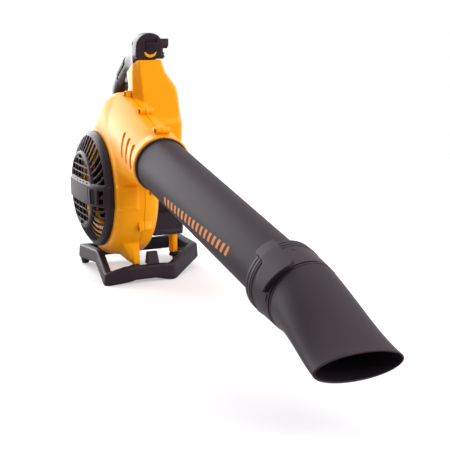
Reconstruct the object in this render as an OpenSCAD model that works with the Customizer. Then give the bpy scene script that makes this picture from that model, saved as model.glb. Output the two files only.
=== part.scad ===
// Handheld cordless leaf blower: a centrifugal fan in a moulded scroll, a long round
// blow tube with a flat nozzle, a handle loop above and a ring-shaped stand below.
// +X is the way the air leaves, +Y is the user's left, +Z is up, and the floor is z = 0.

/* [Fan housing] */
// Height of the fan axis above the floor
fan_z = 156; // [152:1:164]
// Radius of the scroll ahead of and below the fan
scroll_front_r = 124; // [120:1:128]
// Radius of the scroll above the fan, where it meets the duct
scroll_top_r = 178; // [172:1:182]
// Depth of the right half, from the seam to the inlet face
right_depth = 48; // [44:1:54]
// Depth of the left half, from the seam to the motor wall
left_depth = 33; // [30:1:36]
// Wall of the moulded shells
wall = 2.6; // [2:0.1:3.2]
// Radius of the flat inlet face, which is also the grille's rim
rim_r = 104; // [98:1:108]
// Radius of the hole in the inlet face
inlet_hole_r = 86; // [80:1:92]
// Radius of the mouth of the bell in that hole
bell_throat_r = 66; // [58:1:72]

/* [Duct and tube] */
// Distance of the tube's root ring ahead of the fan axis
ring_x = 211; // [204:1:220]
// Height of the ring's centre
ring_z = 222.4; // [216:0.2:230]
// Downward pitch of the tube, in degrees
tube_pitch = 11.3; // [8:0.1:14]
// Outer radius of the ring at the duct mouth
ring_r = 46; // [44:0.5:48]
// How far the ring reaches back into the duct
ring_depth = 14; // [10:1:18]
// How far the ring stands out of the duct
ring_proud = 3; // [2:0.5:5]
// Outer radius of the tube at its root
tube_root_r = 43.8; // [42:0.2:44]
// Outer radius of the tube under the nozzle collar
tube_tip_r = 40.9; // [39:0.1:42]
// Wall of the tube
tube_wall = 2.4; // [2:0.1:3]
// Length of the tube from the ring to its end
tube_len = 486; // [460:2:510]

/* [Nozzle] */
// How far the tube reaches past the collar's rear rim
tube_in_collar = 60.5; // [48:0.5:64]
// Length of the collar
collar_len = 63; // [56:1:70]
// Outer radius of the collar at its rear rim
collar_r = 49.6; // [48.6:0.2:52]
// Outer radius of the collar at its front
collar_front_r = 46.4; // [45:0.2:48]
// Distance from the end of the tube to the nozzle's mouth
nozzle_len = 128; // [110:1:150]
// Half the width of the mouth
mouth_half_w = 57; // [50:0.5:62]
// Half the height of the mouth
mouth_half_h = 19.4; // [16:0.2:24]
// How far the mouth's centre drops below the tube axis
mouth_drop = 18; // [12:0.5:24]
// Tilt of the mouth's plane, in degrees
mouth_tilt = 4; // [0:1:10]
// Wall of the nozzle
nozzle_wall = 2.4; // [2:0.1:3]
// Play between the collar and the tube
twist_gap = 0.5; // [0.4:0.1:0.8]

/* [Grille] */
// Depth of the grille's dome
grille_depth = 33; // [29:1:37]
// Radius of the dome's shoulder, where its flat face starts
shoulder_r = 66; // [60:1:72]
// Thickness of the grille's bars
grille_t = 3; // [2.4:0.2:4]
// Slots round the grille's flank
flank_slots = 40; // [36:2:44]
// Width of one flank slot
flank_slot_w = 7.6; // [6:0.2:8]
// Height of the band across the grille
band_h = 40; // [34:1:46]
// Thickness of the band
band_t = 3.5; // [3:0.5:5]

/* [Tower and handle] */
// Height of the column's top, which carries the handle's head
column_top_z = 387; // [380:1:394]
// Front of the column's top
column_front_x = 82; // [78:1:86]
// Rear of the column's top
column_rear_x = 20; // [16:1:26]
// Half the width of the column's top
column_half_w = 22.5; // [20:0.5:22.5]
// Distance of the handle's middle plane from the seam
handle_y = 24.5; // [23:0.5:27]
// Left face of the tower that covers the motor
tower_left_y = 95; // [93:1:98]
// Front of the tower beside the duct
tower_front_x = 82; // [78:1:86]
// Rear of the tower
tower_rear_x = -60; // [-64:1:-58]
// Height of the ledge where the tower becomes the column
ledge_z = 284; // [278:1:290]
// Underside of the tower, on the battery dock
tower_base_z = 112; // [110:1:114]
// Height of the head above the column
head_h = 44; // [40:1:48]
// Half the width of the head
head_half_w = 23.5; // [23:0.5:25.5]
// Half the thickness of the grip
grip_half = 15.5; // [14.5:0.5:17]
// Rear of the handle loop
loop_rear_x = -79; // [-86:1:-74]

/* [Motor] */
// Outer radius of the fan wheel
fan_r = 88; // [82:1:94]
// Width of the fan wheel
fan_w = 46; // [40:1:50]
// Blades on the fan wheel
blades = 11; // [9:1:13]
// Radius of the motor shaft
shaft_r = 4; // [3:0.5:5]
// Outer radius of the stator
stator_r = 30; // [28:1:32]
// Outer radius of the rotor drum
rotor_r = 16; // [14:1:17]
// Length of the stator
stator_len = 30; // [26:1:32]

/* [Battery] */
// Length of the battery along its rails
battery_len = 118; // [112:1:124]
// Width of the battery
battery_w = 71; // [70:1:76]
// Height of the battery's case
battery_h = 80; // [76:1:86]
// Underside of the battery and of the dock
dock_z = 70; // [66:1:74]
// Front face of the dock
dock_front_x = 40; // [36:1:46]
// Play between the battery's shoe and the rails
rail_gap = 0.5; // [0.4:0.1:0.8]
// Radius of one cell
cell_r = 9.15; // [8.5:0.05:9.3]

/* [Stand] */
// Front of the stand's front bar
stand_front_x = 108; // [102:1:114]
// Right side of the stand
stand_right_y = -76; // [-82:1:-70]
// Left side of the stand
stand_left_y = 134; // [128:1:140]
// Rear of the stand
stand_rear_x = -88; // [-94:1:-82]
// Height of the front bar
front_bar_h = 30; // [26:1:32]
// Height of the side arms
arm_h = 46; // [40:1:50]
// Width of the stand's bars
bar_w = 18; // [15:0.5:20]

/* [Hidden] */

yellow = "orange";
black = "dimgray";
play = 0.3;              // gap at a moulded seat
touch = 0.15;            // gap where two curved faces lie on each other
fit = 0.05;              // gap of a shaft, pin or bearing in its seat
round_fn = 48;           // sides of a round loft
hull_fn = 24;

// ---- places worked out from the sizes above
collar_start = tube_len - tube_in_collar;
mouth_s = tube_len + nozzle_len;
pitch_dir = [cos(tube_pitch), 0, -sin(tube_pitch)];
duct_end_r = ring_r + play + wall;
battery_front_x = tower_rear_x - 6;
battery_rear_x = battery_front_x - battery_len;
battery_y = left_depth + 1.5 + battery_w / 2;
battery_top_z = dock_z + battery_h;
grille_y = -right_depth - grille_depth;
head_front_x = column_front_x + 2;
head_lean = 14;
stand_y = (stand_left_y + stand_right_y) / 2;

// The model's own origin is below the middle of its box.
nose_x = ring_x + mouth_s * pitch_dir[0] - mouth_drop * sin(tube_pitch)
       + mouth_half_h * sin(tube_pitch + mouth_tilt);
button_proud = 4;
box_mid = [(nose_x + battery_rear_x - button_proud) / 2, (stand_left_y + grille_y - band_t) / 2, 0];

// ---- general helpers
function ease(u) = u * u * (3 - 2 * u);
function mix(a, b, u) = a + (b - a) * u;
function sgn_pow(v, p) = sign(v) * pow(abs(v), p);

module placed() { translate(-box_mid) children(); }

function ring_mid(r) = [for (k = [0:2]) [for (p = r) p[k]] * [for (p = r) 1 / len(r)]];
// Do the rings turn the left-hand way about the direction in which they are stacked?
function turns_left(rings) =
    let (r = rings[0], n = len(r), mid = ring_mid(r), along = ring_mid(rings[len(rings) - 1]) - mid,
         around = [for (j = [0:n - 1]) cross(r[j] - mid, r[(j + 1) % n] - mid) * along])
    around * [for (v = around) 1] < 0;
function faces_out(faces, flip) =
    [for (f = faces) flip ? [for (i = [len(f) - 1:-1:0]) f[i]] : f];

// A closed solid through rings that all have the same number of points.
module loft(rings) {
    n = len(rings[0]);
    m = len(rings);
    faces = concat(
        [for (i = [0:m - 2], j = [0:n - 1]) each [
            [i * n + j, (i + 1) * n + (j + 1) % n, i * n + (j + 1) % n],
            [i * n + j, (i + 1) * n + j, (i + 1) * n + (j + 1) % n]]],
        [[for (j = [0:n - 1]) j], [for (j = [n - 1:-1:0]) (m - 1) * n + j]]);
    polyhedron([for (r = rings) each r], faces_out(faces, turns_left(rings)));
}

// Children drawn along +Z are turned to lie along the fan axis, towards +Y.
module fan_axis(y = 0) { translate([0, y, fan_z]) rotate([-90, 0, 0]) children(); }

// Children drawn along +Z are laid on the tube's axis; their +X points down.
module tube_axis(s = 0) {
    translate([ring_x, 0, ring_z]) rotate([0, 90 + tube_pitch, 0]) translate([0, 0, s])
        children();
}

// Children lie on the head's sloping front face, with +X out of it and +Z up along it.
module head_face() {
    // the latch and the crescent sit a little left of the handle's middle
    translate([head_front_x, handle_y + 2.6, column_top_z]) rotate([0, head_lean, 0]) children();
}

module ring2d(r_out, r_in) { difference() { circle(r_out, $fn = 96); circle(r_in, $fn = 96); } }

module tube3d(r_out, r_in, h) { linear_extrude(h) ring2d(r_out, r_in); }

module round_rect(w, d, r) {
    square([w - 2 * r, d], center = true);
    square([w, d - 2 * r], center = true);
    for (x = [-1, 1], y = [-1, 1])
        translate([x * (w / 2 - r), y * (d / 2 - r)]) circle(r, $fn = 32);
}

// A block between two corners, with its edges along Z rounded.
module block(lo, hi, r = 3) {
    size = hi - lo;
    translate([lo[0] + size[0] / 2, lo[1] + size[1] / 2, lo[2]])
        linear_extrude(size[2]) round_rect(size[0], size[1], r);
}

module box(lo, hi) { translate(lo) cube(hi - lo); }

// ---- scroll and duct
scroll_growth = 3.3;     // over 1, the scroll opens late, near its outlet
function turn(a) = (720 - a) % 360;
function scroll_r(a) = let (t = turn(a))
    t < 80 ? scroll_front_r
    : t < 282 ? mix(scroll_front_r, scroll_top_r, pow((t - 80) / 202, scroll_growth))
    : mix(scroll_top_r, scroll_front_r, ease((t - 282) / 78));

// Power of the right half's cross-section: under 1 it bulges, over 1 it is hollow near the rim.
full_sides = 0.78;
function clamp01(u) = max(0, min(1, u));
function scroll_hollow(a) = mix(mix(full_sides, 0.6, clamp01((a - 60) / 20)), 3, ease(clamp01((a - 80) / 42)));
function scroll_fullness(a) =
    a < 150 ? scroll_hollow(a) : mix(3, full_sides, ease(clamp01((a - 150) / 70)));

left_shoulder = 34;
scroll_steps = 60;
profile_steps = 8;

// One side of the scroll, from the seam out to its face; inset moves every wall inwards.
function scroll_rings(side, inset) =
    let (depth = (side < 0 ? right_depth : left_depth) - inset)
    [for (i = [profile_steps:-1:0])
        let (t = 90 * i / profile_steps)
        [for (j = [0:scroll_steps - 1])
            let (a = 360 * j / scroll_steps, outer = scroll_r(a) - inset,
                 face = side < 0 ? rim_r - inset : scroll_r(a) - left_shoulder - inset / 2,
                 full = side < 0 ? scroll_fullness(a) : full_sides,
                 r = face + (outer - face) * pow(cos(t), full))
            [r * cos(a), side * depth * pow(sin(t), full_sides), fan_z + r * sin(a)]]];

module scroll_half(side, inset = 0) {
    rings = scroll_rings(side, inset);
    seam_ring = rings[profile_steps];
    over = [for (p = seam_ring) [p[0], -side, p[2]]];
    loft(concat(rings, [over]));
}

duct_start_x = 20;
duct_bend_x = 48;
duct_floor_z = 178;
ring_top = [ring_x + duct_end_r * sin(tube_pitch), ring_z + duct_end_r * cos(tube_pitch)];
duct_top_z = fan_z + scroll_top_r - 6.5;
duct_top_slope = (duct_top_z - ring_top[1]) / (ring_top[0] - duct_bend_x);

socket_len = ring_depth + 5;
duct_join = [ring_x, 0, ring_z] - socket_len * pitch_dir;
// Ring of the duct at a share u of its length, from the scroll to the socket.
function duct_ring(u, inset) =
    let (start_h = (duct_top_z - duct_floor_z) / 2, start_z = (duct_top_z + duct_floor_z) / 2,
         half_h = mix(start_h, duct_end_r, u) - inset,
         right = mix(right_depth - 2, duct_end_r, u) - inset,
         left = mix(left_depth - 1, duct_end_r, u) - inset,
         centre_z = mix(start_z, duct_join[2], u), centre_x = mix(duct_bend_x, duct_join[0], u),
         power = 2 / mix(2.7, 2, u), tilt = tube_pitch * u)
    [for (j = [0:round_fn - 1])
        let (a = 360 * j / round_fn, c = sgn_pow(cos(a), power), s = sgn_pow(sin(a), power))
        [centre_x + half_h * s * sin(tilt), (c > 0 ? left : right) * c,
         centre_z + half_h * s * cos(tilt)]];

module duct(inset = 0, past_end = 0) {
    first = duct_ring(0, inset);
    last = duct_ring(1, inset);
    loft(concat([[for (p = first) [duct_start_x, p[1] * 0.98, p[2]]]],
                [for (i = [0:7]) duct_ring(i / 7, inset)],
                [[for (p = last) p + (socket_len + past_end) * pitch_dir]]));
}

module half_space(side) {
    translate([-400, side < 0 ? -400 : 0, -10]) cube([1000, 400, 700]);
}

// Seam screws: along the duct's top, down the front, under the mouth and round the back.
boss_r = 5.5;
boss_len = 10;
boss_places = [
    for (x = [56, 130, 206]) [x, duct_top_z + 3 - (x - duct_bend_x) * duct_top_slope],
    [178, duct_floor_z - 5],
    for (a = [-26, -140, 172, 132]) [0, fan_z] + (scroll_r(a) + 4) * [cos(a), sin(a)]];

module seam_boss(place, side) {
    toward = [40, fan_z + 60] - place;
    root = place + toward / norm(toward) * 9;
    long = side * boss_len;
    hull() {
        translate([place[0], min(0, long), place[1]]) rotate([-90, 0, 0])
            cylinder(r = boss_r, h = boss_len, $fn = hull_fn);
        translate([root[0], min(0, long), root[1]]) rotate([-90, 0, 0])
            cylinder(r = boss_r + 1, h = boss_len, $fn = hull_fn);
    }
}

module seam_holes() {
    for (p = boss_places) translate([p[0], 0, p[1]]) rotate([-90, 0, 0]) {
        translate([0, 0, -60]) cylinder(r = 4.4, h = 60 - boss_len + 4, $fn = 20);
        translate([0, 0, -60]) cylinder(r = 2.2, h = 60 + boss_len - 3, $fn = 20);
    }
}

// Four shallow grooves run round the duct's right flank, behind the ring.
module flank_grooves() {
    for (i = [0:3]) {
        x = ring_x - 22 - 13 * i;
        intersection() {
            difference() { duct(-2); duct(1.6); }
            translate([x, -80, ring_z]) rotate([0, tube_pitch, 0])
                translate([-2.8, 0, -22 + 9 * i]) cube([5.6, 60, 52 - 4 * i]);
        }
    }
}

bracket_x = 78;
bracket_w = 12;
module front_bracket() {
    hull() {
        box([bracket_x, -bracket_w, front_bar_h + 0.2], [bracket_x + 14, -0.1, front_bar_h + 6]);
        box([bracket_x, -bracket_w, fan_z - 92], [bracket_x + 10, -0.1, fan_z - 84]);
    }
}

module right_housing() {
    color(yellow) difference() {
        union() {
            intersection() {
                union() { scroll_half(-1); duct(); }
                half_space(-1);
            }
            for (p = boss_places) seam_boss(p, -1);
            front_bracket();
            // the step that carries on the grille's band round the housing
            intersection() {
                scroll_half(-1, -3);
                box([rim_r - 30, -right_depth + 0.5, fan_z - band_h / 2],
                    [rim_r + 60, -14, fan_z + band_h / 2]);
            }
        }
        scroll_half(-1, wall);
        duct(wall, 20);
        fan_axis(-right_depth - 10) cylinder(r = inlet_hole_r, h = 20, $fn = 72);
        flank_grooves();
        seam_holes();
        for (p = stand_bolt_places) if (p[1] < 0) stand_bolt_hole(p);
        for (a = grille_screw_angles) fan_axis(-right_depth - 10) rotate(a)
            translate([grille_screw_r, 0, 0]) cylinder(r = 1.7, h = 30, $fn = 16);
    }
}

// ---- tower, column and left housing
lip = 6;
tower_right_y = 12;
seam_gap = 0.45;          // the tower stays this far left of the seam
// Levels of the tower: height, rear, front, right face, left face, then the legs along X and Y
// of the corners cut off at front right, rear right and front left.
upper_x = column_front_x;
upper_cut = [22, 10.5];
lower_cut = [27, 12.5];
tower_levels = [
    [tower_base_z, tower_rear_x + 12, tower_front_x - 34, left_depth - 6, tower_left_y - 4, [6, 6], [6, 6], [10, 6]],
    [tower_base_z + 30, tower_rear_x, tower_front_x - 20, left_depth - 6, tower_left_y, [6, 6], [8, 8], [16, 8]],
    [ledge_z - 84, tower_rear_x, tower_front_x - 6, tower_right_y + 8, tower_left_y, [6, 6], [8, 8], lower_cut],
    [ledge_z - 34, tower_rear_x, tower_front_x + 2, tower_right_y, tower_left_y, [6, 6], [8, 8], lower_cut],
    [ledge_z - 7, tower_rear_x + 6, tower_front_x + 4, seam_gap, tower_left_y, [6, 6], [12, 10], lower_cut],
    [ledge_z, tower_rear_x + 8, upper_x, seam_gap, tower_left_y - 3, [14, 15], [16, 12], upper_cut],
    [ledge_z + 34, tower_rear_x + 52, upper_x, seam_gap, tower_left_y - 7, [14, 15], [36, 12], upper_cut],
    [ledge_z + 54, column_rear_x - 6, upper_x, seam_gap, tower_left_y - 11, [15, 12], [32, 11], upper_cut],
    [ledge_z + 82, column_rear_x, upper_x, seam_gap, tower_left_y - 36, [16, 9], [15, 5], [12, 5]],
    [column_top_z, column_rear_x, upper_x, handle_y - column_half_w, handle_y + column_half_w + 3,
     [16, 5], [10, 4], [4, 3]]];

// The handle sits on the column along a line that is level in front and slopes behind.
seat_bend_x = column_front_x - 2;
seat_slope = 28;
function seat_z(x) = column_top_z - max(0, seat_bend_x - x) * tan(seat_slope);
module above_seat(gap = 0) {
    translate([0, -50, 0]) mirror([0, 1, 0]) rotate([90, 0, 0]) linear_extrude(200)
        polygon([[200, column_top_z + gap], [seat_bend_x, column_top_z + gap],
                 [-20, seat_z(-20) + gap], [-20, 600], [200, 600]]);
}

// A cut corner's legs, once every wall has moved in by w.
function inner_cut(legs, w) =
    legs * (1 - w * (1 / legs[0] + 1 / legs[1] - norm([1 / legs[0], 1 / legs[1]])));
edge_round = 3.3;   // at most, along each edge that meets at a corner
function round_corner(a, b, c) =
    let (to_a = (a - b) / norm(a - b), to_c = (c - b) / norm(c - b),
         p = b + min(edge_round, 0.3 * norm(a - b)) * to_a,
         q = b + min(edge_round, 0.3 * norm(c - b)) * to_c)
    [p, (p + q + 2 * b) / 4, q];
function tower_ring(level, inset) =
    let (z = level[0], x0 = level[1] + inset, x1 = level[2] - inset, y0 = level[3] + inset,
         y1 = level[4] - inset, fr = inner_cut(level[5], inset), rr = inner_cut(level[6], inset),
         fl = inner_cut(level[7], inset),
         c = [[x1, y0 + fr[1]], [x1, y1 - fl[1]], [x1 - fl[0], y1], [x0 + 10, y1], [x0, y1 - 10],
              [x0, y0 + rr[1]], [x0 + rr[0], y0], [x1 - fr[0], y0]], n = len(c))
    [for (i = [0:n - 1]) each [for (p = round_corner(c[(i + n - 1) % n], c[i], c[(i + 1) % n]))
        [p[0], p[1], z]]];

module tower(inset = 0) {
    last = len(tower_levels) - 1;
    levels = [for (i = [0:last])
        let (l = tower_levels[i], lift = i == 0 ? inset : i == last ? inset + 1 : 0)
        [l[0] + lift, l[1], l[2], l[3], l[4], l[5], l[6], l[7]]];
    loft([for (i = [last:-1:0]) tower_ring(levels[i], inset)]);
}

cap_r = 36;
motor_hole_r = 33;
module left_housing() {
    color(yellow) difference() {
        union() {
            difference() {
                tower();
                difference() { tower(wall); above_seat(-wall); }
                above_seat();
            }
            intersection() {
                union() { scroll_half(1); duct(); }
                half_space(1);
            }
            for (p = boss_places) seam_boss(p, 1);
        }
        scroll_half(1, wall);
        duct(wall, 20);
        fan_axis(left_depth - 20) cylinder(r = motor_hole_r, h = 40, $fn = 48);
        fan_axis(tower_left_y - 20) cylinder(r = cap_r - 3, h = 40, $fn = 48);
        seam_holes();
        for (a = cap_screw_angles) fan_axis(tower_left_y - 20) rotate(a)
            translate([cap_screw_r, 0, 0]) cylinder(r = 1.7, h = 40, $fn = 16);
        for (x = dock_screw_xs) translate([x, battery_y, tower_base_z - 5])
            cylinder(r = 1.7, h = 20, $fn = 16);
    }
}

// ---- intake
grille_rim_w = 10;
grille_rim_h = 6;
// Half outline of the dome, as radius and height above the inlet face.
function dome_line(grow) = [
    [rim_r + grow, 0], [rim_r + grow, grille_rim_h], [rim_r - 6 + grow, grille_depth * 0.4 + grow / 2],
    [rim_r - 18 + grow, grille_depth * 0.64 + grow / 2],
    [shoulder_r + 8 + grow / 2, grille_depth * 0.8 + grow * 0.9],
    [shoulder_r - 2, grille_depth * 0.89 + grow], [shoulder_r - 24, grille_depth - 1.5 + grow],
    [0, grille_depth + grow]];

module dome_solid(grow) { rotate_extrude($fn = 96) polygon(concat(dome_line(grow), [[0, 0]])); }

// Children drawn along +Z above the inlet face come out towards -Y; their +X stays +X.
module inlet_face() { translate([0, -right_depth, fan_z]) rotate([90, 0, 0]) children(); }

module intake_grille() {
    face_r = shoulder_r - 8;
    mesh_w = 21;
    mesh_h = 12.5;
    color(black) inlet_face() difference() {
        dome_solid(0);
        translate([0, 0, -0.01]) rotate_extrude($fn = 96) polygon(concat(
            [for (p = dome_line(-grille_t)) p],
            [[0, -1], [rim_r - grille_t, -1]]));
        for (i = [0:flank_slots - 1]) rotate(360 / flank_slots * (i + 0.5))
            translate([shoulder_r + 4, -flank_slot_w / 2, grille_rim_h + 1]) rotate(14)
                cube([rim_r, flank_slot_w, grille_depth]);
        for (i = [0:3], k = [-2:2], side = [-1, 1]) let (x = k * mesh_w, y = band_h / 2 - 2 + i * mesh_h)
            if (norm([abs(x) + mesh_w / 2, y + mesh_h]) < face_r + 12)
                translate([x - mesh_w / 2 + 2, side > 0 ? y + 3 : -y - mesh_h, grille_depth / 2])
                    cube([mesh_w - 4, mesh_h - 3, 60]);
        band_windows();
        for (a = grille_screw_angles) rotate(a) translate([grille_screw_r, 0, -5])
            cylinder(r = 2, h = 20, $fn = 20);
    }
}

module grille_band() {
    color(black) inlet_face() difference() {
        intersection() {
            dome_solid(band_t);
            translate([-rim_r * 1.1, -band_h / 2, touch]) cube([rim_r * 2.2, band_h, 80]);
        }
        translate([0, 0, -0.01]) dome_solid(touch);
        translate([0, 0, -1]) cylinder(r = shoulder_r / 2, h = 10, $fn = 64);
        band_windows();
    }
}

// Two tall windows near each end of the band, cut through the grille as well.
module band_windows() {
    for (side = [-1, 1], x = [[shoulder_r + 3.5, 7], [rim_r - 21, 9]])
        translate([side > 0 ? x[0] : -x[0] - x[1], -band_h / 2 + 6, grille_rim_h + 1])
            cube([x[1], band_h - 12, 60]);
}

// The bell is a flared sheet that hangs on a flange round the hole in the inlet face.
bell_depth = 14;
bell_t = 2;
module inlet_bell() {
    flare = inlet_hole_r - play - bell_throat_r;
    top = touch + bell_t;
    lip_r = (inlet_hole_r + grille_screw_r) / 2;
    curve = [for (t = [0:10:90])
        [bell_throat_r + flare * (1 - cos(t)), (bell_depth + top) * sin(t) - bell_depth]];
    under = [for (i = [9:-1:0]) curve[i] + bell_t * [cos(10 * i), -sin(10 * i)]];
    color(yellow) inlet_face() rotate_extrude($fn = 96)
        polygon(concat(curve, [[lip_r, top], [lip_r, touch]], under));
}

grille_screw_r = rim_r - 7;
grille_screw_angles = [35, 145, 215, 325];
module grille_screws() {
    color("silver") for (a = grille_screw_angles) inlet_face() rotate(a)
        translate([grille_screw_r, 0, -12]) cylinder(r = 1.5, h = 12 + grille_rim_h, $fn = 24);
}

// ---- duct mouth and tube
module outlet_ring() {
    color(black) tube_axis(-ring_depth) rotate_extrude($fn = 96) {
        translate([tube_root_r + play, 0]) square([ring_r - tube_root_r - play, ring_depth + ring_proud]);
    }
}

function tube_r(s) = mix(tube_root_r, tube_tip_r, (s + ring_depth) / (collar_start + ring_depth));

module blow_tube() {
    s0 = -ring_depth;
    color(black) tube_axis() rotate_extrude($fn = 96) polygon([
        [tube_r(s0), s0], [tube_r(collar_start), collar_start],
        [tube_r(collar_start), tube_len], [tube_r(collar_start) - tube_wall, tube_len],
        [tube_r(collar_start) - tube_wall, collar_start], [tube_r(s0) - tube_wall, s0]]);
}

seal_r = tube_root_r - tube_wall - 1;
module tube_seal() {
    color("black") tube_axis(-ring_depth - 3.2) rotate_extrude($fn = 96)
        translate([seal_r, 0]) square([ring_r - seal_r, 3]);
}

// ---- nozzle
collar_bore_r = tube_tip_r + twist_gap;
collar_neck_r = collar_r - 1;
collar_waist_r = mix(collar_r, collar_front_r, 0.7);
collar_waist = collar_len - 12;
// Radius of the collar ahead of its rear band, d from its rear rim.
function collar_line(d) = mix(collar_neck_r, collar_waist_r, (d - 18) / (collar_waist - 18));
module nozzle_collar() {
    s1 = collar_start + collar_len;
    color(black) tube_axis() rotate_extrude($fn = 96) difference() {
        polygon([[collar_bore_r, collar_start], [collar_r, collar_start],
                 [collar_r, collar_start + 16], [collar_neck_r, collar_start + 18],
                 [collar_waist_r, collar_start + collar_waist], [collar_front_r, s1],
                 [collar_bore_r, s1]]);
        for (s = [6, 12]) translate([collar_r - 0.8, collar_start + s]) square([2, 1.6]);
        translate([mix(collar_r, collar_front_r, 0.75) - 0.4, s1 - 8]) square([3, 1.6]);
    }
}

module nozzle_latch() {
    // a raised tongue on the collar's right, a slice of a ring a little larger than it
    d0 = 18.4;
    d1 = collar_waist - 1;
    arc = 60;
    color(black) tube_axis(collar_start) rotate(198) rotate_extrude(angle = arc, $fn = 96)
        polygon([[collar_line(d0) + touch, d0], [collar_line(d0) + 3.4, d0 + 2],
                 [collar_line(d1) + 3, d1 - 4], [collar_line(d1) + touch, d1]]);
}

// Ring of the nozzle at a share u from the collar to the mouth, in the tube's own frame.
function nozzle_ring(u, inset) =
    let (e = ease(u), half_w = mix(collar_front_r, mouth_half_w, pow(u, 1.3)) - inset,
         half_h = mix(collar_front_r, mouth_half_h, pow(u, 0.85)) - inset,
         drop = mouth_drop * e, s = mix(collar_start + collar_len, mouth_s, u),
         tilt = mouth_tilt * u)
    [for (j = [0:round_fn - 1])
        let (a = 360 * j / round_fn)
        [drop + half_h * sin(a) * cos(tilt), half_w * cos(a), s - half_h * sin(a) * sin(tilt)]];

// A shell between two sets of rings, open at both ends.
module shell_loft(outer, inner) {
    n = len(outer[0]);
    m = len(outer);
    k = m * n;
    end = (m - 1) * n;
    points = concat([for (r = outer) each r], [for (r = inner) each r]);
    quad = function(a, b, c, d) [[a, b, c], [a, c, d]];
    faces = [for (j = [0:n - 1]) let (j2 = (j + 1) % n) each concat(
        [for (i = [0:m - 2]) let (o = i * n) each concat(
            quad(o + j, o + n + j, o + n + j2, o + j2),
            quad(k + o + j, k + o + j2, k + o + n + j2, k + o + n + j))],
        quad(j, j2, k + j2, k + j),
        quad(end + j, k + end + j, k + end + j2, end + j2))];
    polyhedron(points, faces_out(faces, turns_left(outer)));
}

nozzle_steps = 8;
module nozzle() {
    color(black) tube_axis() shell_loft(
        [for (i = [0:nozzle_steps]) nozzle_ring(i / nozzle_steps, 0)],
        [for (i = [0:nozzle_steps]) nozzle_ring(i / nozzle_steps, nozzle_wall)]);
}

// ---- handle
slope = 30;
// Its underside may be squarer than its top.
function handle_ring(x, z, half_h, half_w, tilt, power, low_power, inset) =
    [for (j = [0:35])
        let (a = 10 * j, p = a > 180 ? low_power : power, c = sgn_pow(cos(a), 2 / p),
             s = sgn_pow(sin(a), 2 / p))
        [x + (half_h - inset) * s * sin(tilt), handle_y + (half_w - inset) * c,
         z + (half_h - inset) * s * cos(tilt)]];

head_top_z = column_top_z + head_h;
head_mid_z = column_top_z + head_h / 2;
grip_front = [-8, head_mid_z - 33];
leg_top = grip_front - 58 * [cos(slope), sin(slope)];
// Height at which the loop's rear meets the scroll.
loop_foot_z = fan_z + sqrt(pow(scroll_r(120), 2) - pow(loop_rear_x + 1, 2));
// Stations of the handle, front to rear: x, z, half height, half width, tilt, and the
// squareness of its top and of its underside.
handle_stations = [
    [head_front_x + 30, head_mid_z, head_h / 2, head_half_w, 0, 2.1, 6],
    [head_front_x - 16, head_mid_z, head_h / 2 + 1, head_half_w, 0, 2.1, 6],
    [column_rear_x + 34, head_top_z - 32, 28, head_half_w - 4, -4, 2.2, 5],
    [column_rear_x + 14, head_top_z - 44, 29, head_half_w - 9.5, -12, 2.3, 4],
    [column_rear_x - 4, head_top_z - 50, 24, grip_half - 3, -20, 2.4, 3],
    [grip_front[0], grip_front[1], grip_half + 1, grip_half - 2.5, -slope, 2.4, 2.4],
    for (d = [24, 44]) [grip_front[0] - d * cos(slope), grip_front[1] - d * sin(slope),
                        grip_half, grip_half - 2.5, -slope, 2.3, 2.3],
    [leg_top[0] - 4, leg_top[1] - 2, grip_half, grip_half - 2, -46, 2.4, 2.4],
    [loop_rear_x + 3, leg_top[1] - 18, grip_half, grip_half - 1, -68, 2.5, 2.5],
    [loop_rear_x, leg_top[1] - 37, grip_half - 1, grip_half - 0.5, -88, 2.6, 2.6],
    [loop_rear_x + 1, loop_foot_z + 4, grip_half, grip_half + 0.5, -94, 2.7, 2.7],
    [loop_rear_x - 2, loop_foot_z - 28, grip_half + 1, grip_half + 1, -96, 2.8, 2.8]];

module handle_solid(inset = 0, first = 0, last = 12) {
    loft([for (i = [first:last]) let (s = handle_stations[i])
        handle_ring(s[0], s[1], s[2], s[3], s[4], s[5], s[6], inset)]);
}

shell_t = 3;
trigger_w = 15;
// Children lie along the grip, with +X forward up the slope and +Z out of its top.
module along_grip() {
    translate([grip_front[0], handle_y, grip_front[1]]) rotate([0, -slope, 0]) children();
}
trigger_pin_u = 16;     // along the grip from its front station
trigger_pin_h = -3;     // above the grip's middle
trigger_len = 46;
module trigger_slot() {
    along_grip() translate([trigger_pin_u - trigger_len - 3, -trigger_w / 2 - 0.7, -grip_half - 12])
        cube([trigger_len + 12, trigger_w + 1.4, grip_half + 10]);
}

slider_w = 20;
slider_h = 15;
slider_travel = 6;
slider_z = 14.6;
slider_t = 3;
inlay_w = 23;

module handle_half(side) {
    color(black) difference() {
        intersection() {
            union() {
                difference() {
                    handle_solid();
                    handle_solid(shell_t, 1, 11);
                }
                for (p = handle_screw_places) translate([p[0], handle_y - p[2], p[1]])
                    rotate([-90, 0, 0]) cylinder(r = 5, h = 2 * p[2], $fn = 24);
            }
            translate([-300, side < 0 ? handle_y - 100 : handle_y, 100]) cube([600, 100, 500]);
        }
        // sloping front face, with the slider's pocket and the inlay's recess
        head_face() translate([0, -50, -60]) cube([120, 100, 200]);
        head_face() translate([-slider_t, -slider_w / 2 - play, slider_z])
            cube([20, slider_w + 2 * play, slider_h + slider_travel + 2 * play]);
        head_face() translate([-1.2, 0, slider_z + 0.2]) rotate([0, 90, 0]) inlay_shape(play, 20);
        // everything below the seat, as far back as the column reaches
        difference() {
            box([column_rear_x - 0.2, -50, 200], [300, 150, column_top_z + 1]);
            above_seat(0.05);
        }
        trigger_slot();
        scroll_half(1, -play);
        handle_holes();
    }
}

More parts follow.
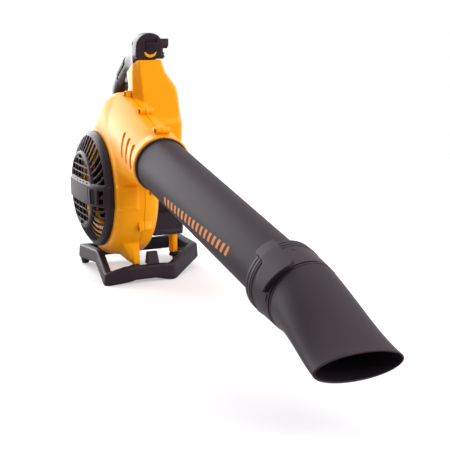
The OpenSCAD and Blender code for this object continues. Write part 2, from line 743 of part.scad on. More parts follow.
lever_x = column_front_x - 22;
lever_z = column_top_z + 6.7;
trigger_pin_x = grip_front[0] + trigger_pin_u * cos(slope) - trigger_pin_h * sin(slope);
trigger_pin_z = grip_front[1] + trigger_pin_u * sin(slope) + trigger_pin_h * cos(slope);
pin_r = 2;

module handle_holes() {
    translate([trigger_pin_x, handle_y - 40, trigger_pin_z]) rotate([-90, 0, 0])
        cylinder(r = pin_r + 0.1, h = 80, $fn = 24);
    for (p = handle_screw_places) translate([p[0], handle_y, p[1]]) rotate([-90, 0, 0]) {
        translate([0, 0, -40]) cylinder(r = 1.8, h = 80, $fn = 16);
        translate([0, 0, -40]) cylinder(r = 3.5, h = 30.3, $fn = 16);
    }
    translate([lever_x, handle_y + 4, lever_z]) rotate([-90, 0, 0])
        cylinder(r = 3 + fit, h = 40, $fn = 24);
}

// Screws of the handle: x, z and how far their bosses reach from the handle's middle.
handle_screw_places = [
    [column_rear_x + 46, column_top_z + 27, head_half_w - 5],
    [grip_front[0] - 52 * cos(slope), grip_front[1] - 52 * sin(slope), grip_half - 4],
    [loop_rear_x + 1, loop_foot_z + 12, grip_half - 3.5]];

module handle_right() { handle_half(-1); }
module handle_left() { handle_half(1); }

module grip_pad() {
    // soft skin on the upper side of the grip
    color("black") difference() {
        intersection() {
            handle_solid(-1.6, 5, 8);
            along_grip() translate([-50, -40, 2]) cube([48, 80, 60]);
        }
        handle_solid(-touch, 4, 9);
    }
}

module inlay_shape(grow, h) {
    linear_extrude(h) intersection() {
        difference() {
            circle(inlay_w / 2 + grow, $fn = 48);
            translate([-5 + grow, 0]) circle(inlay_w / 2 - grow, $fn = 48);
        }
        translate([1.5, -20]) square([20, 40]);
    }
}

module head_inlay() {
    color(yellow) head_face() translate([-1.2 + play / 2, 0, slider_z + 0.2]) rotate([0, 90, 0])
        inlay_shape(-0.1, 1.4);
}

module lock_slider() {
    color(black) head_face() difference() {
        union() {
            translate([-slider_t + play, -slider_w / 2, slider_z + play])
                cube([slider_t + 1.2, slider_w, slider_h]);
            for (i = [0:3]) translate([1.2, -slider_w / 2 + 2, slider_z + play + 1.6 + 3.4 * i])
                cube([1.4, slider_w - 4, 1.6]);
        }
    }
}

module lever_pivot() {
    color("silver") translate([lever_x, handle_y + head_half_w - 6, lever_z]) rotate([-90, 0, 0])
        union() {
            cylinder(r = 3, h = 20, $fn = 32);
            translate([0, 0, 18.2]) cylinder(r = 4.6, h = 1.8, $fn = 32);
        }
}

module speed_lever() {
    y0 = handle_y + head_half_w + 0.6;
    color(black) difference() {
        union() {
            translate([lever_x, y0, lever_z]) rotate([-90, 0, 0]) cylinder(r = 6.5, h = 11, $fn = 48);
            box([lever_x - 4, y0 + 2, lever_z + 3], [lever_x + 4, y0 + 10, lever_z + 13]);
            translate([lever_x, y0 + 11, lever_z + 11.5]) linear_extrude(17)
                round_rect(11, 18, 2.5);
        }
        translate([lever_x, y0 - 1, lever_z]) rotate([-90, 0, 0])
            cylinder(r = 3.08, h = 30, $fn = 32);
    }
}

module trigger() {
    low = -grip_half - 9 - trigger_pin_h;
    color(black) translate([trigger_pin_x, handle_y + trigger_w / 2, trigger_pin_z])
        rotate([90, 0, 0]) rotate(slope) linear_extrude(trigger_w) difference() {
            union() {
                circle(5, $fn = 40);
                polygon([[3, 4], [-10, 1], [-trigger_len + 4, low + 18], [-trigger_len, low + 10],
                         [-trigger_len + 1, low + 2], [-trigger_len + 10, low], [-22, low + 3],
                         [-8, low + 9], [4, -3]]);
            }
            circle(pin_r + 0.08, $fn = 40);
        }
}

module trigger_pin() {
    color("silver") translate([trigger_pin_x, handle_y - trigger_w / 2 - 4.2, trigger_pin_z])
        rotate([-90, 0, 0]) cylinder(r = pin_r, h = trigger_w + 8.4, $fn = 40);
}

module trigger_switch() {
    color("dimgray") along_grip() translate([trigger_pin_u - 24, -4.8, 3.5])
        cube([32, 9.6, grip_half - 8.5]);
}

// ---- fan and motor
fan_y0 = -30;
blade_t = 2;
hub_r = 17;
module fan_blade() {
    // one backward-swept blade, an arc from the hub to the rim
    steps = 8;
    function arc_point(u, side) = let (r = mix(hub_r + 12, fan_r - 1, u), a = 38 * u)
        [r * cos(a) - side * blade_t / 2 * sin(a + 30), r * sin(a) + side * blade_t / 2 * cos(a + 30)];
    polygon(concat([for (i = [0:steps]) arc_point(i / steps, 1)],
                   [for (i = [steps:-1:0]) arc_point(i / steps, -1)]));
}

module fan_wheel() {
    color("dimgray") fan_axis(fan_y0) difference() {
        union() {
            for (i = [0:blades - 1]) rotate(360 / blades * i) linear_extrude(fan_w) fan_blade();
            translate([0, 0, fan_w - 2.5]) cylinder(r = fan_r, h = 2.5, $fn = 96);
            translate([0, 0, 12]) cylinder(r = hub_r, h = fan_w - 12, $fn = 64);
            tube3d(fan_r, fan_r - 22, 2.5);
        }
        translate([0, 0, -1]) cylinder(r = shaft_r + fit, h = fan_w + 2, $fn = 48);
    }
}

shaft_y0 = -30;
bearing_w = 7;
bearing_r = 11;
mount_y = left_depth + touch;
front_bearing_y = left_depth + 1;
stator_y = front_bearing_y + bearing_w + 4;
rear_bearing_y = stator_y + stator_len + 3;

module fan_nut() {
    color("silver") fan_axis(fan_y0 + 12 - 6) difference() {
        cylinder(r = 8, h = 6, $fn = 6);
        translate([0, 0, -1]) cylinder(r = shaft_r + fit, h = 8, $fn = 48);
    }
}

module motor_shaft() {
    color("silver") fan_axis(shaft_y0) cylinder(r = shaft_r, h = rear_bearing_y + bearing_w - shaft_y0, $fn = 48);
}

module motor_rotor() {
    color("silver") fan_axis(stator_y) tube3d(rotor_r, shaft_r + fit, stator_len);
}

slots = 12;
module motor_stator() {
    color("silver") fan_axis(stator_y) difference() {
        cylinder(r = stator_r, h = stator_len, $fn = 96);
        translate([0, 0, -1]) cylinder(r = rotor_r + 0.6, h = stator_len + 2, $fn = 64);
        for (i = [0:slots - 1]) rotate(360 / slots * i)
            translate([rotor_r + 2.5, -2.1, -1]) cube([stator_r - rotor_r - 6.5, 4.2, stator_len + 2]);
    }
}

module stator_windings() {
    // one filled slot for each coil side
    color("chocolate") fan_axis(stator_y - 2) for (i = [0:slots - 1]) rotate(360 / slots * i)
        translate([rotor_r + 2.8, -1.9, 0]) cube([stator_r - rotor_r - 7.1, 3.8, stator_len + 4]);
}

module bearing(y) {
    color("silver") fan_axis(y) tube3d(bearing_r, shaft_r + fit, bearing_w);
}
module front_bearing() { bearing(front_bearing_y); }
module rear_bearing() { bearing(rear_bearing_y); }

module motor_mount() {
    // spider plate on the motor wall, with a can that holds the stator
    color("silver") fan_axis(mount_y) difference() {
        union() {
            cylinder(r = motor_hole_r + 6, h = 3, $fn = 96);
            cylinder(r = bearing_r + 4, h = bearing_w + 2.5, $fn = 64);
            tube3d(stator_r + 3, stator_r + fit, stator_y - mount_y + stator_len - 6);
        }
        translate([0, 0, -1]) cylinder(r = shaft_r + 1.5, h = 40, $fn = 48);
        translate([0, 0, front_bearing_y - mount_y]) cylinder(r = bearing_r + fit, h = 40, $fn = 64);
    }
}

cap_screw_r = cap_r + 4;
cap_screw_angles = [45, 135, 225, 315];
cap_t = 3;
module motor_cap() {
    seat = rear_bearing_y;
    color(black) difference() {
        union() {
            fan_axis(tower_left_y + touch) cylinder(r = cap_r + 8, h = cap_t, $fn = 96);
            fan_axis(seat - 1) tube3d(bearing_r + 4, bearing_r, tower_left_y + touch - seat + 1.5);
            for (a = [0, 90]) fan_axis(seat + 3) rotate(a + 45)
                translate([-cap_r + 4, -2, 0]) cube([2 * cap_r - 8, 4, tower_left_y + touch - seat - 2]);
        }
        fan_axis(seat - 2) cylinder(r = bearing_r + fit, h = bearing_w + 2, $fn = 64);
        fan_axis(seat - 2) cylinder(r = shaft_r + 1.5, h = bearing_w + 4, $fn = 48);
        for (i = [-3:3]) translate([i * 8 - 2, tower_left_y - 1, fan_z - 26 + abs(i) * 3])
            cube([4, 10, 52 - abs(i) * 6]);
        for (a = cap_screw_angles) fan_axis(tower_left_y - 10) rotate(a)
            translate([cap_screw_r, 0, 0]) cylinder(r = 2, h = 20, $fn = 24);
    }
}

module cap_screws() {
    color("silver") for (a = cap_screw_angles) fan_axis(tower_left_y - 8) rotate(a)
        translate([cap_screw_r, 0, 0]) union() {
            cylinder(r = 1.5, h = 8 + cap_t + 0.2, $fn = 24);
            translate([0, 0, 8 + touch + cap_t]) cylinder(r = 3.2, h = 1.8, $fn = 24);
        }
}

// ---- electronics above the motor
board_z = fan_z + stator_r + 16;
module board_carrier() {
    color("dimgray") difference() {
        box([-46, left_depth + play, board_z], [42, tower_left_y - wall - 5, board_z + 8]);
        box([-43, left_depth + 7, board_z + 2], [39, tower_left_y - wall - 8, board_z + 9]);
    }
}
module control_board() {
    color("green") union() {
        box([-42, left_depth + 8, board_z + 2], [38, tower_left_y - wall - 9, board_z + 4]);
        for (x = [-30, -14, 2, 18]) translate([x, left_depth + 18, board_z + 4])
            cylinder(r = 5, h = 16, $fn = 32);
    }
}
module heat_sink() {
    color("silver") union() {
        box([-40, left_depth + 26, board_z + 4], [30, tower_left_y - wall - 12, board_z + 8]);
        for (i = [0:9]) box([-40 + 7 * i, left_depth + 26, board_z + 7],
                            [-37.6 + 7 * i, tower_left_y - wall - 12, board_z + 24]);
    }
}

// ---- battery and dock
rail_reach = 3.4;
shoe_w = 38;
shoe_h = 11;
dock_roof_z = battery_top_z + shoe_h + 1;
dock_screw_xs = [-20, 20];
plate_t = 4;
plate_x = tower_rear_x - play - plate_t;
dock_bottom_y0 = left_depth + 7;
dock_bottom_y1 = tower_left_y + 9;
module battery_dock() {
    roof_y0 = battery_y - shoe_w / 2 - 10;
    roof_y1 = battery_y + shoe_w / 2 + 10;
    top = tower_base_z - 0.1;
    color(black) difference() {
        union() {
            difference() {
                block([-44, dock_bottom_y0, dock_z], [dock_front_x, dock_bottom_y1, top], 5);
                block([-41, dock_bottom_y0 + 3, dock_z + 3],
                      [dock_front_x - 3, dock_bottom_y1 - 3, top - 3], 3);
            }
            box([dock_front_x - 8, dock_bottom_y0 + 3, dock_z - 3],
                [dock_front_x + 3, dock_bottom_y1 - 3, dock_z + 4]);
            // arm back to the plate behind the tower, and the roof that carries the rails
            box([plate_x, roof_y0, top - 14], [-43, roof_y1, top]);
            box([plate_x, roof_y0, top - 14], [plate_x + plate_t, roof_y1, dock_roof_z + 6]);
            box([battery_rear_x + 22, roof_y0, dock_roof_z], [plate_x + 1, roof_y1, dock_roof_z + 6]);
        }
        for (x = dock_screw_xs) translate([x, battery_y, top - 10]) cylinder(r = 1.7, h = 20, $fn = 24);
    }
}

module dock_rails() {
    z0 = battery_top_z + 2 + rail_gap;
    rear = battery_rear_x + 26;
    color("silver") for (side = [-1, 1]) {
        y_web = battery_y + side * (shoe_w / 2 + rail_gap);
        y_out = y_web + side * 4;
        y_in = y_web - side * rail_reach;
        box([rear, min(y_web, y_out), z0], [battery_front_x - 1, max(y_web, y_out), dock_roof_z]);
        box([rear, min(y_in, y_out), z0], [battery_front_x - 1, max(y_in, y_out), z0 + 3]);
    }
}

blade_y = [-10, -3.4, 3.4, 10];
module dock_terminals() {
    color("gold") for (y = blade_y)
        box([plate_x - 12, battery_y + y - 0.5, battery_top_z + 4],
            [plate_x, battery_y + y + 0.5, battery_top_z + 9]);
}

leg_x = 30;
leg_y = 86;
module dock_leg() {
    color(yellow) difference() {
        union() {
            translate([leg_x, leg_y, arm_foot_z + 0.1]) cylinder(r = 8, h = dock_z - arm_foot_z - 3.3, $fn = 48);
            box([leg_x - 8, leg_y - 3, arm_foot_z + 6], [leg_x + 8, leg_y + 3, dock_z - 3.2]);
        }
        translate([leg_x, leg_y, 0]) cylinder(r = 2.2, h = 60, $fn = 24);
    }
}

button_travel = 4;
button_half_w = 12;
button_h = 14;
button_z = battery_top_z - 11 - button_h;
module battery_case() {
    color(black) difference() {
        union() {
            translate([battery_rear_x + battery_len / 2, battery_y, dock_z]) linear_extrude(battery_h)
                round_rect(battery_len, battery_w, 8);
        }
        box([battery_rear_x + 3, battery_y - battery_w / 2 + 2.4, dock_z + 3],
            [battery_front_x - 3, battery_y + battery_w / 2 - 2.4, battery_top_z - 3]);
        // pocket for the latch button
        box([battery_rear_x - 1, battery_y - button_half_w - play, button_z - play],
            [battery_rear_x + 5 + button_travel, battery_y + button_half_w + play,
             button_z + button_h + play]);
    }
}

module battery_shoe() {
    color(black) difference() {
        box([battery_rear_x + 22, battery_y - shoe_w / 2, battery_top_z + 0.05],
            [battery_front_x - 1, battery_y + shoe_w / 2, battery_top_z + shoe_h]);
        for (side = [-1, 1]) translate([battery_rear_x + 21, battery_y + side * (shoe_w / 2), battery_top_z + 2])
            translate([0, side > 0 ? -rail_reach - rail_gap : -1, 0])
                cube([battery_len, rail_reach + rail_gap + 1, 4]);
        for (y = blade_y) box([plate_x - 16, battery_y + y - 1.3, battery_top_z + 3],
                              [plate_x + 9, battery_y + y + 1.3, battery_top_z + shoe_h + 1]);
    }
}

module battery_cells() {
    pitch = 2 * cell_r + 0.8;
    color("seagreen") for (i = [0:4], k = [0:2])
        translate([battery_rear_x + 14 + pitch * (i + 0.5), battery_y - 32.5, dock_z + 6 + pitch * (k + 0.5)])
            rotate([-90, 0, 0]) cylinder(r = cell_r, h = 65, $fn = 48);
}

module battery_button() {
    color("red") box([battery_rear_x - button_proud, battery_y - button_half_w, button_z],
                     [battery_rear_x + 4, battery_y + button_half_w, button_z + button_h]);
}

// ---- stand
arm_foot_z = 32;
foot = bar_w * 0.5;
function corner(x, y) = [x, y];
front_right = [stand_front_x - bar_w * 0.6, stand_right_y + bar_w * 0.85];
// where the right arm bends down to its front foot
arm_bend = [24, stand_right_y + bar_w * 1.22];
front_foot_h = front_bar_h * 0.68;
front_left = [stand_front_x - bar_w * 0.5, 56];
side_left = [38, stand_left_y - bar_w * 0.6];
rear_left = [-46, stand_left_y - bar_w * 0.5];
rear_right = [stand_rear_x + bar_w * 0.5, stand_right_y + bar_w * 1.1];

// An upright bar section with rounded corners, from one height to another.
module post(p, z0, z1, w = bar_w) {
    translate([p[0], p[1], z0]) cylinder(r1 = w / 2, r2 = w / 2 - 2, h = z1 - z0, $fn = hull_fn);
}
module bar(a, a0, a1, b, b0, b1, wa = bar_w, wb = bar_w) {
    hull() { post(a, a0, a1, wa); post(b, b0, b1, wb); }
}

module stand() {
    mid = (front_right + front_left) / 2;
    color(black) difference() {
        union() {
            bar(arm_bend, 24, arm_h, front_right + [-4, 0], 2, front_foot_h);
            bar(front_right, 0, front_foot_h, [front_right[0] + 3, front_right[1] + 36], 4, front_bar_h);
            bar([front_right[0] + 3, front_right[1] + 36], 6, front_bar_h, [front_left[0], front_left[1] - 26], 6, front_bar_h);
            bar([front_left[0], front_left[1] - 26], 6, front_bar_h, front_left, 0, front_bar_h - 2);
            bar(front_left, 0, front_bar_h - 2, side_left, 20, arm_h);
            bar(side_left, 20, arm_h, rear_left, 20, arm_h);
            bar(rear_left, 0, arm_h, rear_left + [0, -8], 16, arm_h);
            bar(rear_left, 22, arm_h, [stand_rear_x + 26, 30], 18, arm_h - 8);
            bar([stand_rear_x + 26, 30], 16, arm_h - 8, rear_right, 12, arm_h - 10);
            bar(rear_right + [3, 2], 0, 20, rear_right + [8, 2], 8, 20, bar_w - 5);
            bar(rear_right, 12, arm_h - 10, arm_bend, 24, arm_h);
            // shelf under the leg of the dock
            bar(side_left, 20, arm_foot_z, [leg_x, leg_y], arm_foot_z - 8, arm_foot_z);
            // shelf under the bracket of the scroll
            bar([front_right[0] + 1, front_right[1] + 42], 10, front_bar_h, [bracket_x + 8, -6], 10, front_bar_h);
        }
        scroll_half(-1, -2);
        scroll_half(1, -2);
        for (p = stand_bolt_places) stand_bolt_hole(p);
        inlet_face() translate([0, 0, -1]) cylinder(r = rim_r + 2, h = 80, $fn = 48);
    }
}

stand_bolt_places = [[bracket_x + 6, -6], [leg_x, leg_y]];
module stand_bolt_hole(p) { translate([p[0], p[1], -1]) cylinder(r = 2.2, h = 60, $fn = 20); }

module stand_clip() {
    color(black) hull() {
        box([front_left[0] - 12, 10, front_bar_h + 0.1], [front_left[0] + 2, 33, front_bar_h + 1]);
        box([front_left[0] - 10, 12, front_bar_h + 20], [front_left[0] - 4, 31, front_bar_h + 22]);
    }
}

module housing_screws() {
    color("silver") for (p = boss_places) translate([p[0], 0, p[1]]) rotate([-90, 0, 0])
        union() {
            translate([0, 0, -boss_len + 1.6]) cylinder(r = 4, h = 2.2, $fn = 32);
            translate([0, 0, -boss_len + 3]) cylinder(r = 2, h = 2 * boss_len - 8, $fn = 32);
        }
}

module stand_screws() {
    color("silver") for (p = stand_bolt_places) translate([p[0], p[1], 12])
        cylinder(r = 2, h = 34, $fn = 32);
}

module handle_screws() {
    color("silver") for (p = handle_screw_places) translate([p[0], handle_y, p[1]])
        rotate([-90, 0, 0]) union() {
            translate([0, 0, -11.8]) cylinder(r = 1.6, h = 22, $fn = 24);
            translate([0, 0, -11.8]) cylinder(r = 3.2, h = 1.8, $fn = 24);
        }
}

placed() right_housing();
placed() left_housing();
placed() intake_grille();
placed() grille_band();
placed() inlet_bell();
placed() outlet_ring();
placed() blow_tube();
placed() tube_seal();
placed() nozzle_collar();
placed() nozzle();
placed() nozzle_latch();
placed() handle_right();
placed() handle_left();
placed() grip_pad();
placed() head_inlay();
placed() lock_slider();
placed() speed_lever();
placed() lever_pivot();
placed() trigger();
placed() trigger_pin();
placed() trigger_switch();
placed() fan_wheel();
placed() fan_nut();
placed() motor_shaft();
placed() motor_rotor();
placed() motor_stator();
placed() stator_windings();
placed() front_bearing();
placed() rear_bearing();
placed() motor_mount();
placed() motor_cap();
placed() control_board();
placed() heat_sink();
placed() board_carrier();
placed() battery_dock();
placed() dock_rails();
placed() dock_terminals();
placed() dock_leg();
placed() battery_case();
placed() battery_shoe();
placed() battery_cells();
placed() battery_button();
placed() stand();
placed() stand_clip();
placed() housing_screws();
placed() grille_screws();
placed() stand_screws();
placed() handle_screws();
placed() cap_screws();
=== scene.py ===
import math
from math import cos, pi, radians, sin, tan

import bmesh
import bpy
from bpy.props import FloatProperty, FloatVectorProperty, IntProperty, PointerProperty
from mathutils import Matrix, Vector


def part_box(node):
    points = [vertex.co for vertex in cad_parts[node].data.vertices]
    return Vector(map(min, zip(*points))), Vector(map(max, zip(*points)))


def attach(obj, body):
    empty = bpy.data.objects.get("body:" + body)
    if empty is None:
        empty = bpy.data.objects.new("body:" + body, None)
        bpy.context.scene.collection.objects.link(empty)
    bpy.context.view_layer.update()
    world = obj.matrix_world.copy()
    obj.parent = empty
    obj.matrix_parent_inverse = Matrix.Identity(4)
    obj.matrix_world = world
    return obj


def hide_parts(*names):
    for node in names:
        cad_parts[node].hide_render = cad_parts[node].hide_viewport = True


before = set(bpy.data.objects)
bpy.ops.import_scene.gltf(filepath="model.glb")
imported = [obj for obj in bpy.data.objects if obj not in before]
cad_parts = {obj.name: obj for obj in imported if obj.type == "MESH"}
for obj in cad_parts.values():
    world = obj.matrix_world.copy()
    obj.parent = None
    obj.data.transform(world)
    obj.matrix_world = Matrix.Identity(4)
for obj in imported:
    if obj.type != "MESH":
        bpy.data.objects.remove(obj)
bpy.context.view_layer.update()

bl_info = {
    "name": "Leaf blower finish",
    "version": (1, 0, 0),
    "blender": (4, 5, 0),
    "location": "View3D > Sidebar > Blower",
    "description": "Moulded shells, cage, tube, handle and stage of a cordless leaf blower",
    "category": "Object",
}

# ---- places. Shapes are worked out in millimetres about the fan: +X is the way the air
# leaves, +Y is the user's left with the seam of the housing at 0, and the floor is z = 0.
MM = 0.001


def middle(node):
    low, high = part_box(node)
    return (low + high) / 2


ORIGIN = Vector((middle("motor_shaft").x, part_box("right_housing")[1].y, 0.0))
TO_FRAME = Matrix.Translation(ORIGIN) @ Matrix.Scale(MM, 4)
FAN_Z = middle("motor_shaft").z / MM


def moved(x, y, z):
    return Matrix.Translation((x, y, z))


def turned(degrees, axis):
    return Matrix.Rotation(radians(degrees), 4, axis)


# the housing's halves, the cage's rim and the holes that lie round the fan's axis
RIGHT_DEPTH, LEFT_DEPTH = 48.0, 33.0
RIM_R, HOLE_R, MOTOR_HOLE_R, BAND_BORE_R = 104.0, 86.0, 33.0, 33.0
# the tube's root, its fall in degrees, its radii, and its parts' distances from the root
RING_X, RING_Z, PITCH = 211.0, 222.4, 11.3
TUBE_ROOT_R, TUBE_TIP_R, TUBE_WALL, TUBE_END = 43.8, 40.9, 2.4, 486.0
RING_DEPTH = 14.0
COLLAR_START, COLLAR_LEN, COLLAR_R, COLLAR_FRONT_R = 425.5, 63.0, 49.6, 46.4
MOUTH_S = 614.0
# the tower on the left half, and the handle on it with its head, grip, trigger and switches
COLUMN_TOP, COLUMN_FRONT, COLUMN_REAR = 387.0, 82.0, 20.0
HANDLE_Y = 24.5
TOWER_LEFT, TOWER_FRONT, TOWER_REAR = 95.0, 82.0, -60.0
TOWER_BASE, BELLY_H, LEDGE_Z = 112.0, 42.0, 284.0
HEAD_FRONT, HEAD_LEAN, HEAD_H, HEAD_HALF_W = 84.0, 14.0, 44.0, 23.5
GRIP_HALF, SLOPE, LOOP_REAR = 15.5, 30.0, -79.0
TRIGGER_HALF_W, TRIGGER_PLAY = 7.5, 0.8
LEVER_X, LEVER_UP, LEVER_AXLE_R = 60.0, 6.7, 3.08
SLIDER_Z, SLIDER_W, SLIDER_H, SLIDER_TRAVEL = 14.6, 20.0, 15.0, 6.0
# the scroll, the duct, the bosses and the line between the halves
FRONT_R, TOP_R, DUCT_END_R, SOCKET = 124.0, 178.0, 48.9, 19.0
DUCT_START, DUCT_BEND, DUCT_FLOOR, DUCT_TOP = 20.0, 48.0, 178.0, 327.5
BOSS_R, BOSS_LEN, BOSS_LEFT, SEAM = 5.5, 10.0, 14.5, 0.42
BOSS_HOLE_R, BOSS_HOLE_DEPTH = 4.4, 4.0
# the cage, the motor's cap and the slope on which the handle sits
BAND_H, BAND_T, DOME_H, RIBS = 40.0, 3.5, 33.0, 40
CAP_SCREWS_R, CAP_THICK, SEAT_FALL = 40.0, 3.15, 28

AIR = Vector((cos(radians(PITCH)), 0, -sin(radians(PITCH))))
FAN = moved(0, 0, FAN_Z) @ turned(-90, "X")
INLET = moved(0, -RIGHT_DEPTH, FAN_Z) @ turned(90, "X")
TUBE = moved(RING_X, 0, RING_Z) @ turned(90 + PITCH, "Y")
HEAD = moved(HEAD_FRONT, HANDLE_Y + 2.6, COLUMN_TOP) @ turned(HEAD_LEAN, "Y")
GRIP_FRONT = (-8.0, COLUMN_TOP + HEAD_H / 2 - 33)
GRIP = moved(GRIP_FRONT[0], HANDLE_Y, GRIP_FRONT[1]) @ turned(-SLOPE, "Y")


# ---- numbers, outlines and shapes. A shape is the points and faces of a closed solid.
def mix(a, b, u):
    return a + (b - a) * u


def ease(u):
    return u * u * (3 - 2 * u)


def clamp(u):
    return max(0.0, min(1.0, u))


def power(v, p):
    """A power that keeps the sign."""
    return math.copysign(abs(v) ** p, v)


def polar(r, degrees):
    return r * cos(radians(degrees)), r * sin(radians(degrees))


def loft(rings):
    """Rings of points, one after another, with a face at each end."""
    n = len(rings[0])
    points = [p for ring in rings for p in ring]
    faces = [(i * n + j, i * n + (j + 1) % n, (i + 1) * n + (j + 1) % n, (i + 1) * n + j)
             for i in range(len(rings) - 1) for j in range(n)]
    faces += [tuple(range(n)), tuple(range(len(points) - n, len(points)))[::-1]]
    return points, faces


def tied(rings):
    """Closed rings of points, joined in a loop that closes on itself."""
    n, m = len(rings[0]), len(rings)
    faces = [(i * n + j, i * n + (j + 1) % n, (i + 1) % m * n + (j + 1) % n, (i + 1) % m * n + j)
             for i in range(m) for j in range(n)]
    return [p for ring in rings for p in ring], faces


def spin(outline, sides=96):
    """A closed outline of (radius, height) turned round Z."""
    return tied([[(*polar(r, 360 * i / sides), h) for r, h in outline] for i in range(sides)])


def slab(outline, z0, z1):
    """An outline of (x, y) carried along Z."""
    return loft([[(x, y, z) for x, y in outline] for z in (z0, z1)])


def sideways(outline, y0, y1):
    """An outline of (x, z) carried along Y."""
    return loft([[(x, y, z) for x, z in outline] for y in (y0, y1)])


def box(low, high):
    (a, b, c), (d, e, f) = low, high
    return slab([(a, b), (d, b), (d, e), (a, e)], c, f)


def outline_round(points):
    """The smallest outline that holds some points of a plane."""
    points = sorted(set(points))

    def side(run):
        kept = []
        for p in run:
            while len(kept) > 1 and ((kept[-1][0] - kept[-2][0]) * (p[1] - kept[-2][1])
                                     <= (kept[-1][1] - kept[-2][1]) * (p[0] - kept[-2][0])):
                kept.pop()
            kept.append(p)
        return kept[:-1]
    return side(points) + side(points[::-1])


def circle(x, y, r, sides=24):
    return [(x + u, y + v) for u, v in (polar(r, 360 * i / sides) for i in range(sides))]


def stadium(a, b, r):
    """The outline round two equal circles."""
    return outline_round(circle(*a, r) + circle(*b, r))


def flow(points, steps):
    """A smooth line through some points, each of them any number of values."""
    line = []
    for i in range(len(points) - 1):
        a, b, c, d = (points[max(i - 1, 0)], points[i], points[i + 1],
                      points[min(i + 2, len(points) - 1)])
        for k in range(steps):
            t = k / steps
            line.append(tuple(0.5 * (2 * q + (r - p) * t + (2 * p - 5 * q + 4 * r - s) * t * t
                                     + (3 * q - p - 3 * r + s) * t ** 3)
                              for p, q, r, s in zip(a, b, c, d)))
    line.append(tuple(points[-1]))
    return line


def round_box(low, high, r, sides=6):
    """A block whose edges along Z are rounded."""
    (a, b, c), (d, e, f) = low, high
    outline = []
    for cx, cy, first in ((d - r, e - r, 0), (a + r, e - r, 90), (a + r, b + r, 180),
                          (d - r, b + r, 270)):
        corner = (polar(r, first + 90 * i / sides) for i in range(sides + 1))
        outline += [(cx + u, cy + v) for u, v in corner]
    return slab(outline, c, f)


def rod(r, z0, z1, sides=48):
    return slab(circle(0, 0, r, sides), z0, z1)


# ---- meshes
def placed(name, data):
    made = bpy.data.objects.new(name, data)
    bpy.context.scene.collection.objects.link(made)
    return made


def raw(name, points, faces=()):
    mesh = bpy.data.meshes.new(name)
    mesh.from_pydata([Vector(p) for p in points], [], faces)
    return placed(name, mesh)


def solid(name, shape, place=Matrix()):
    """A closed solid, laid in the frame."""
    points, faces = shape
    to = TO_FRAME @ place
    return outwards(raw(name, [to @ Vector(p) for p in points], faces))


def outwards(obj, merge=1e-6):
    b = bmesh.new()
    b.from_mesh(obj.data)
    bmesh.ops.remove_doubles(b, verts=b.verts, dist=merge)
    bmesh.ops.recalc_face_normals(b, faces=b.faces)
    b.to_mesh(obj.data)
    b.free()
    return obj


def drop(obj):
    mesh = obj.data
    bpy.data.objects.remove(obj)
    if mesh.users == 0:
        bpy.data.meshes.remove(mesh)


def settle(obj):
    """Turns a piece's modifiers into its mesh."""
    bpy.context.view_layer.update()
    seen = obj.evaluated_get(bpy.context.evaluated_depsgraph_get())
    mesh = bpy.data.meshes.new_from_object(seen)
    obj.modifiers.clear()
    old, obj.data = obj.data, mesh
    bpy.data.meshes.remove(old)
    return obj


def boolean(obj, tools, how):
    for tool in tools:
        m = obj.modifiers.new("join", "BOOLEAN")
        m.solver = "MANIFOLD"
        m.operation = how
        m.object = tool
        settle(obj)
        drop(tool)
    return obj


def union(obj, *tools):
    return boolean(obj, tools, "UNION")


def cut(obj, *tools):
    return boolean(obj, tools, "DIFFERENCE")


def keep(obj, *tools):
    return boolean(obj, tools, "INTERSECT")


def melt(obj, voxel, rounds):
    """Fills a solid with even faces and eases it, which rounds edges as a mould does."""
    m = obj.modifiers.new("fill", "REMESH")
    m.mode = "VOXEL"
    m.voxel_size = voxel * MM
    m = obj.modifiers.new("ease", "SMOOTH")
    m.factor = 0.5
    m.iterations = rounds
    return settle(obj)


def round_edges(obj, width, segments=3, angle=30):
    m = obj.modifiers.new("round", "BEVEL")
    m.width = width * MM
    m.segments = segments
    m.limit_method = "ANGLE"
    m.angle_limit = radians(angle)
    m.use_clamp_overlap = True
    return settle(obj)


def together(obj, *others):
    """Puts several meshes in one object, without joining their faces."""
    b = bmesh.new()
    for o in (obj, *others):
        b.from_mesh(o.data)
    b.to_mesh(obj.data)
    b.free()
    for o in others:
        drop(o)
    return obj


def copy_of(node):
    """A merged copy of a CAD node's mesh."""
    return outwards(placed(node + "_copy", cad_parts[node].data.copy()))


def dress(obj, name, body, slot, *nodes, edge=32):
    """Names a finished piece, smooths it, gives it its finish and ties it to its body."""
    obj.name = obj.data.name = name
    obj.data.shade_smooth()
    obj.data.set_sharp_from_angle(angle=radians(edge))
    obj.data.materials.clear()
    obj.data.materials.append(FINISHES[slot])
    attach(obj, body)
    if nodes:
        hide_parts(*nodes)
    return obj


# ---- node trees
class Wire:
    """A number in a node tree. Operators on it add Math nodes."""

    def __init__(self, tree, socket):
        self.tree, self.socket = tree, socket

    def math(self, operation, *others):
        return self.tree.node("ShaderNodeMath", dict(enumerate((self, *others))),
                              operation=operation)

    def __add__(self, other): return self.math("ADD", other)
    def __radd__(self, other): return self.math("ADD", other)
    def __mul__(self, other): return self.math("MULTIPLY", other)
    def __rmul__(self, other): return self.math("MULTIPLY", other)
    def __sub__(self, other): return self.math("SUBTRACT", other)
    def __rsub__(self, other): return self.tree.value_math("SUBTRACT", other, self)
    def __truediv__(self, other): return self.math("DIVIDE", other)
    def __gt__(self, other): return self.math("GREATER_THAN", other)
    def __mod__(self, other): return self.math("FLOORED_MODULO", other)

    def clear(self):
        return self.tree.node("ShaderNodeClamp", {0: self})

    def step(self, low, high):
        """0 below low and 1 above high, with a soft edge between them."""
        return self.tree.node("ShaderNodeMapRange", {0: self, 1: low, 2: high},
                              interpolation_type="SMOOTHSTEP")


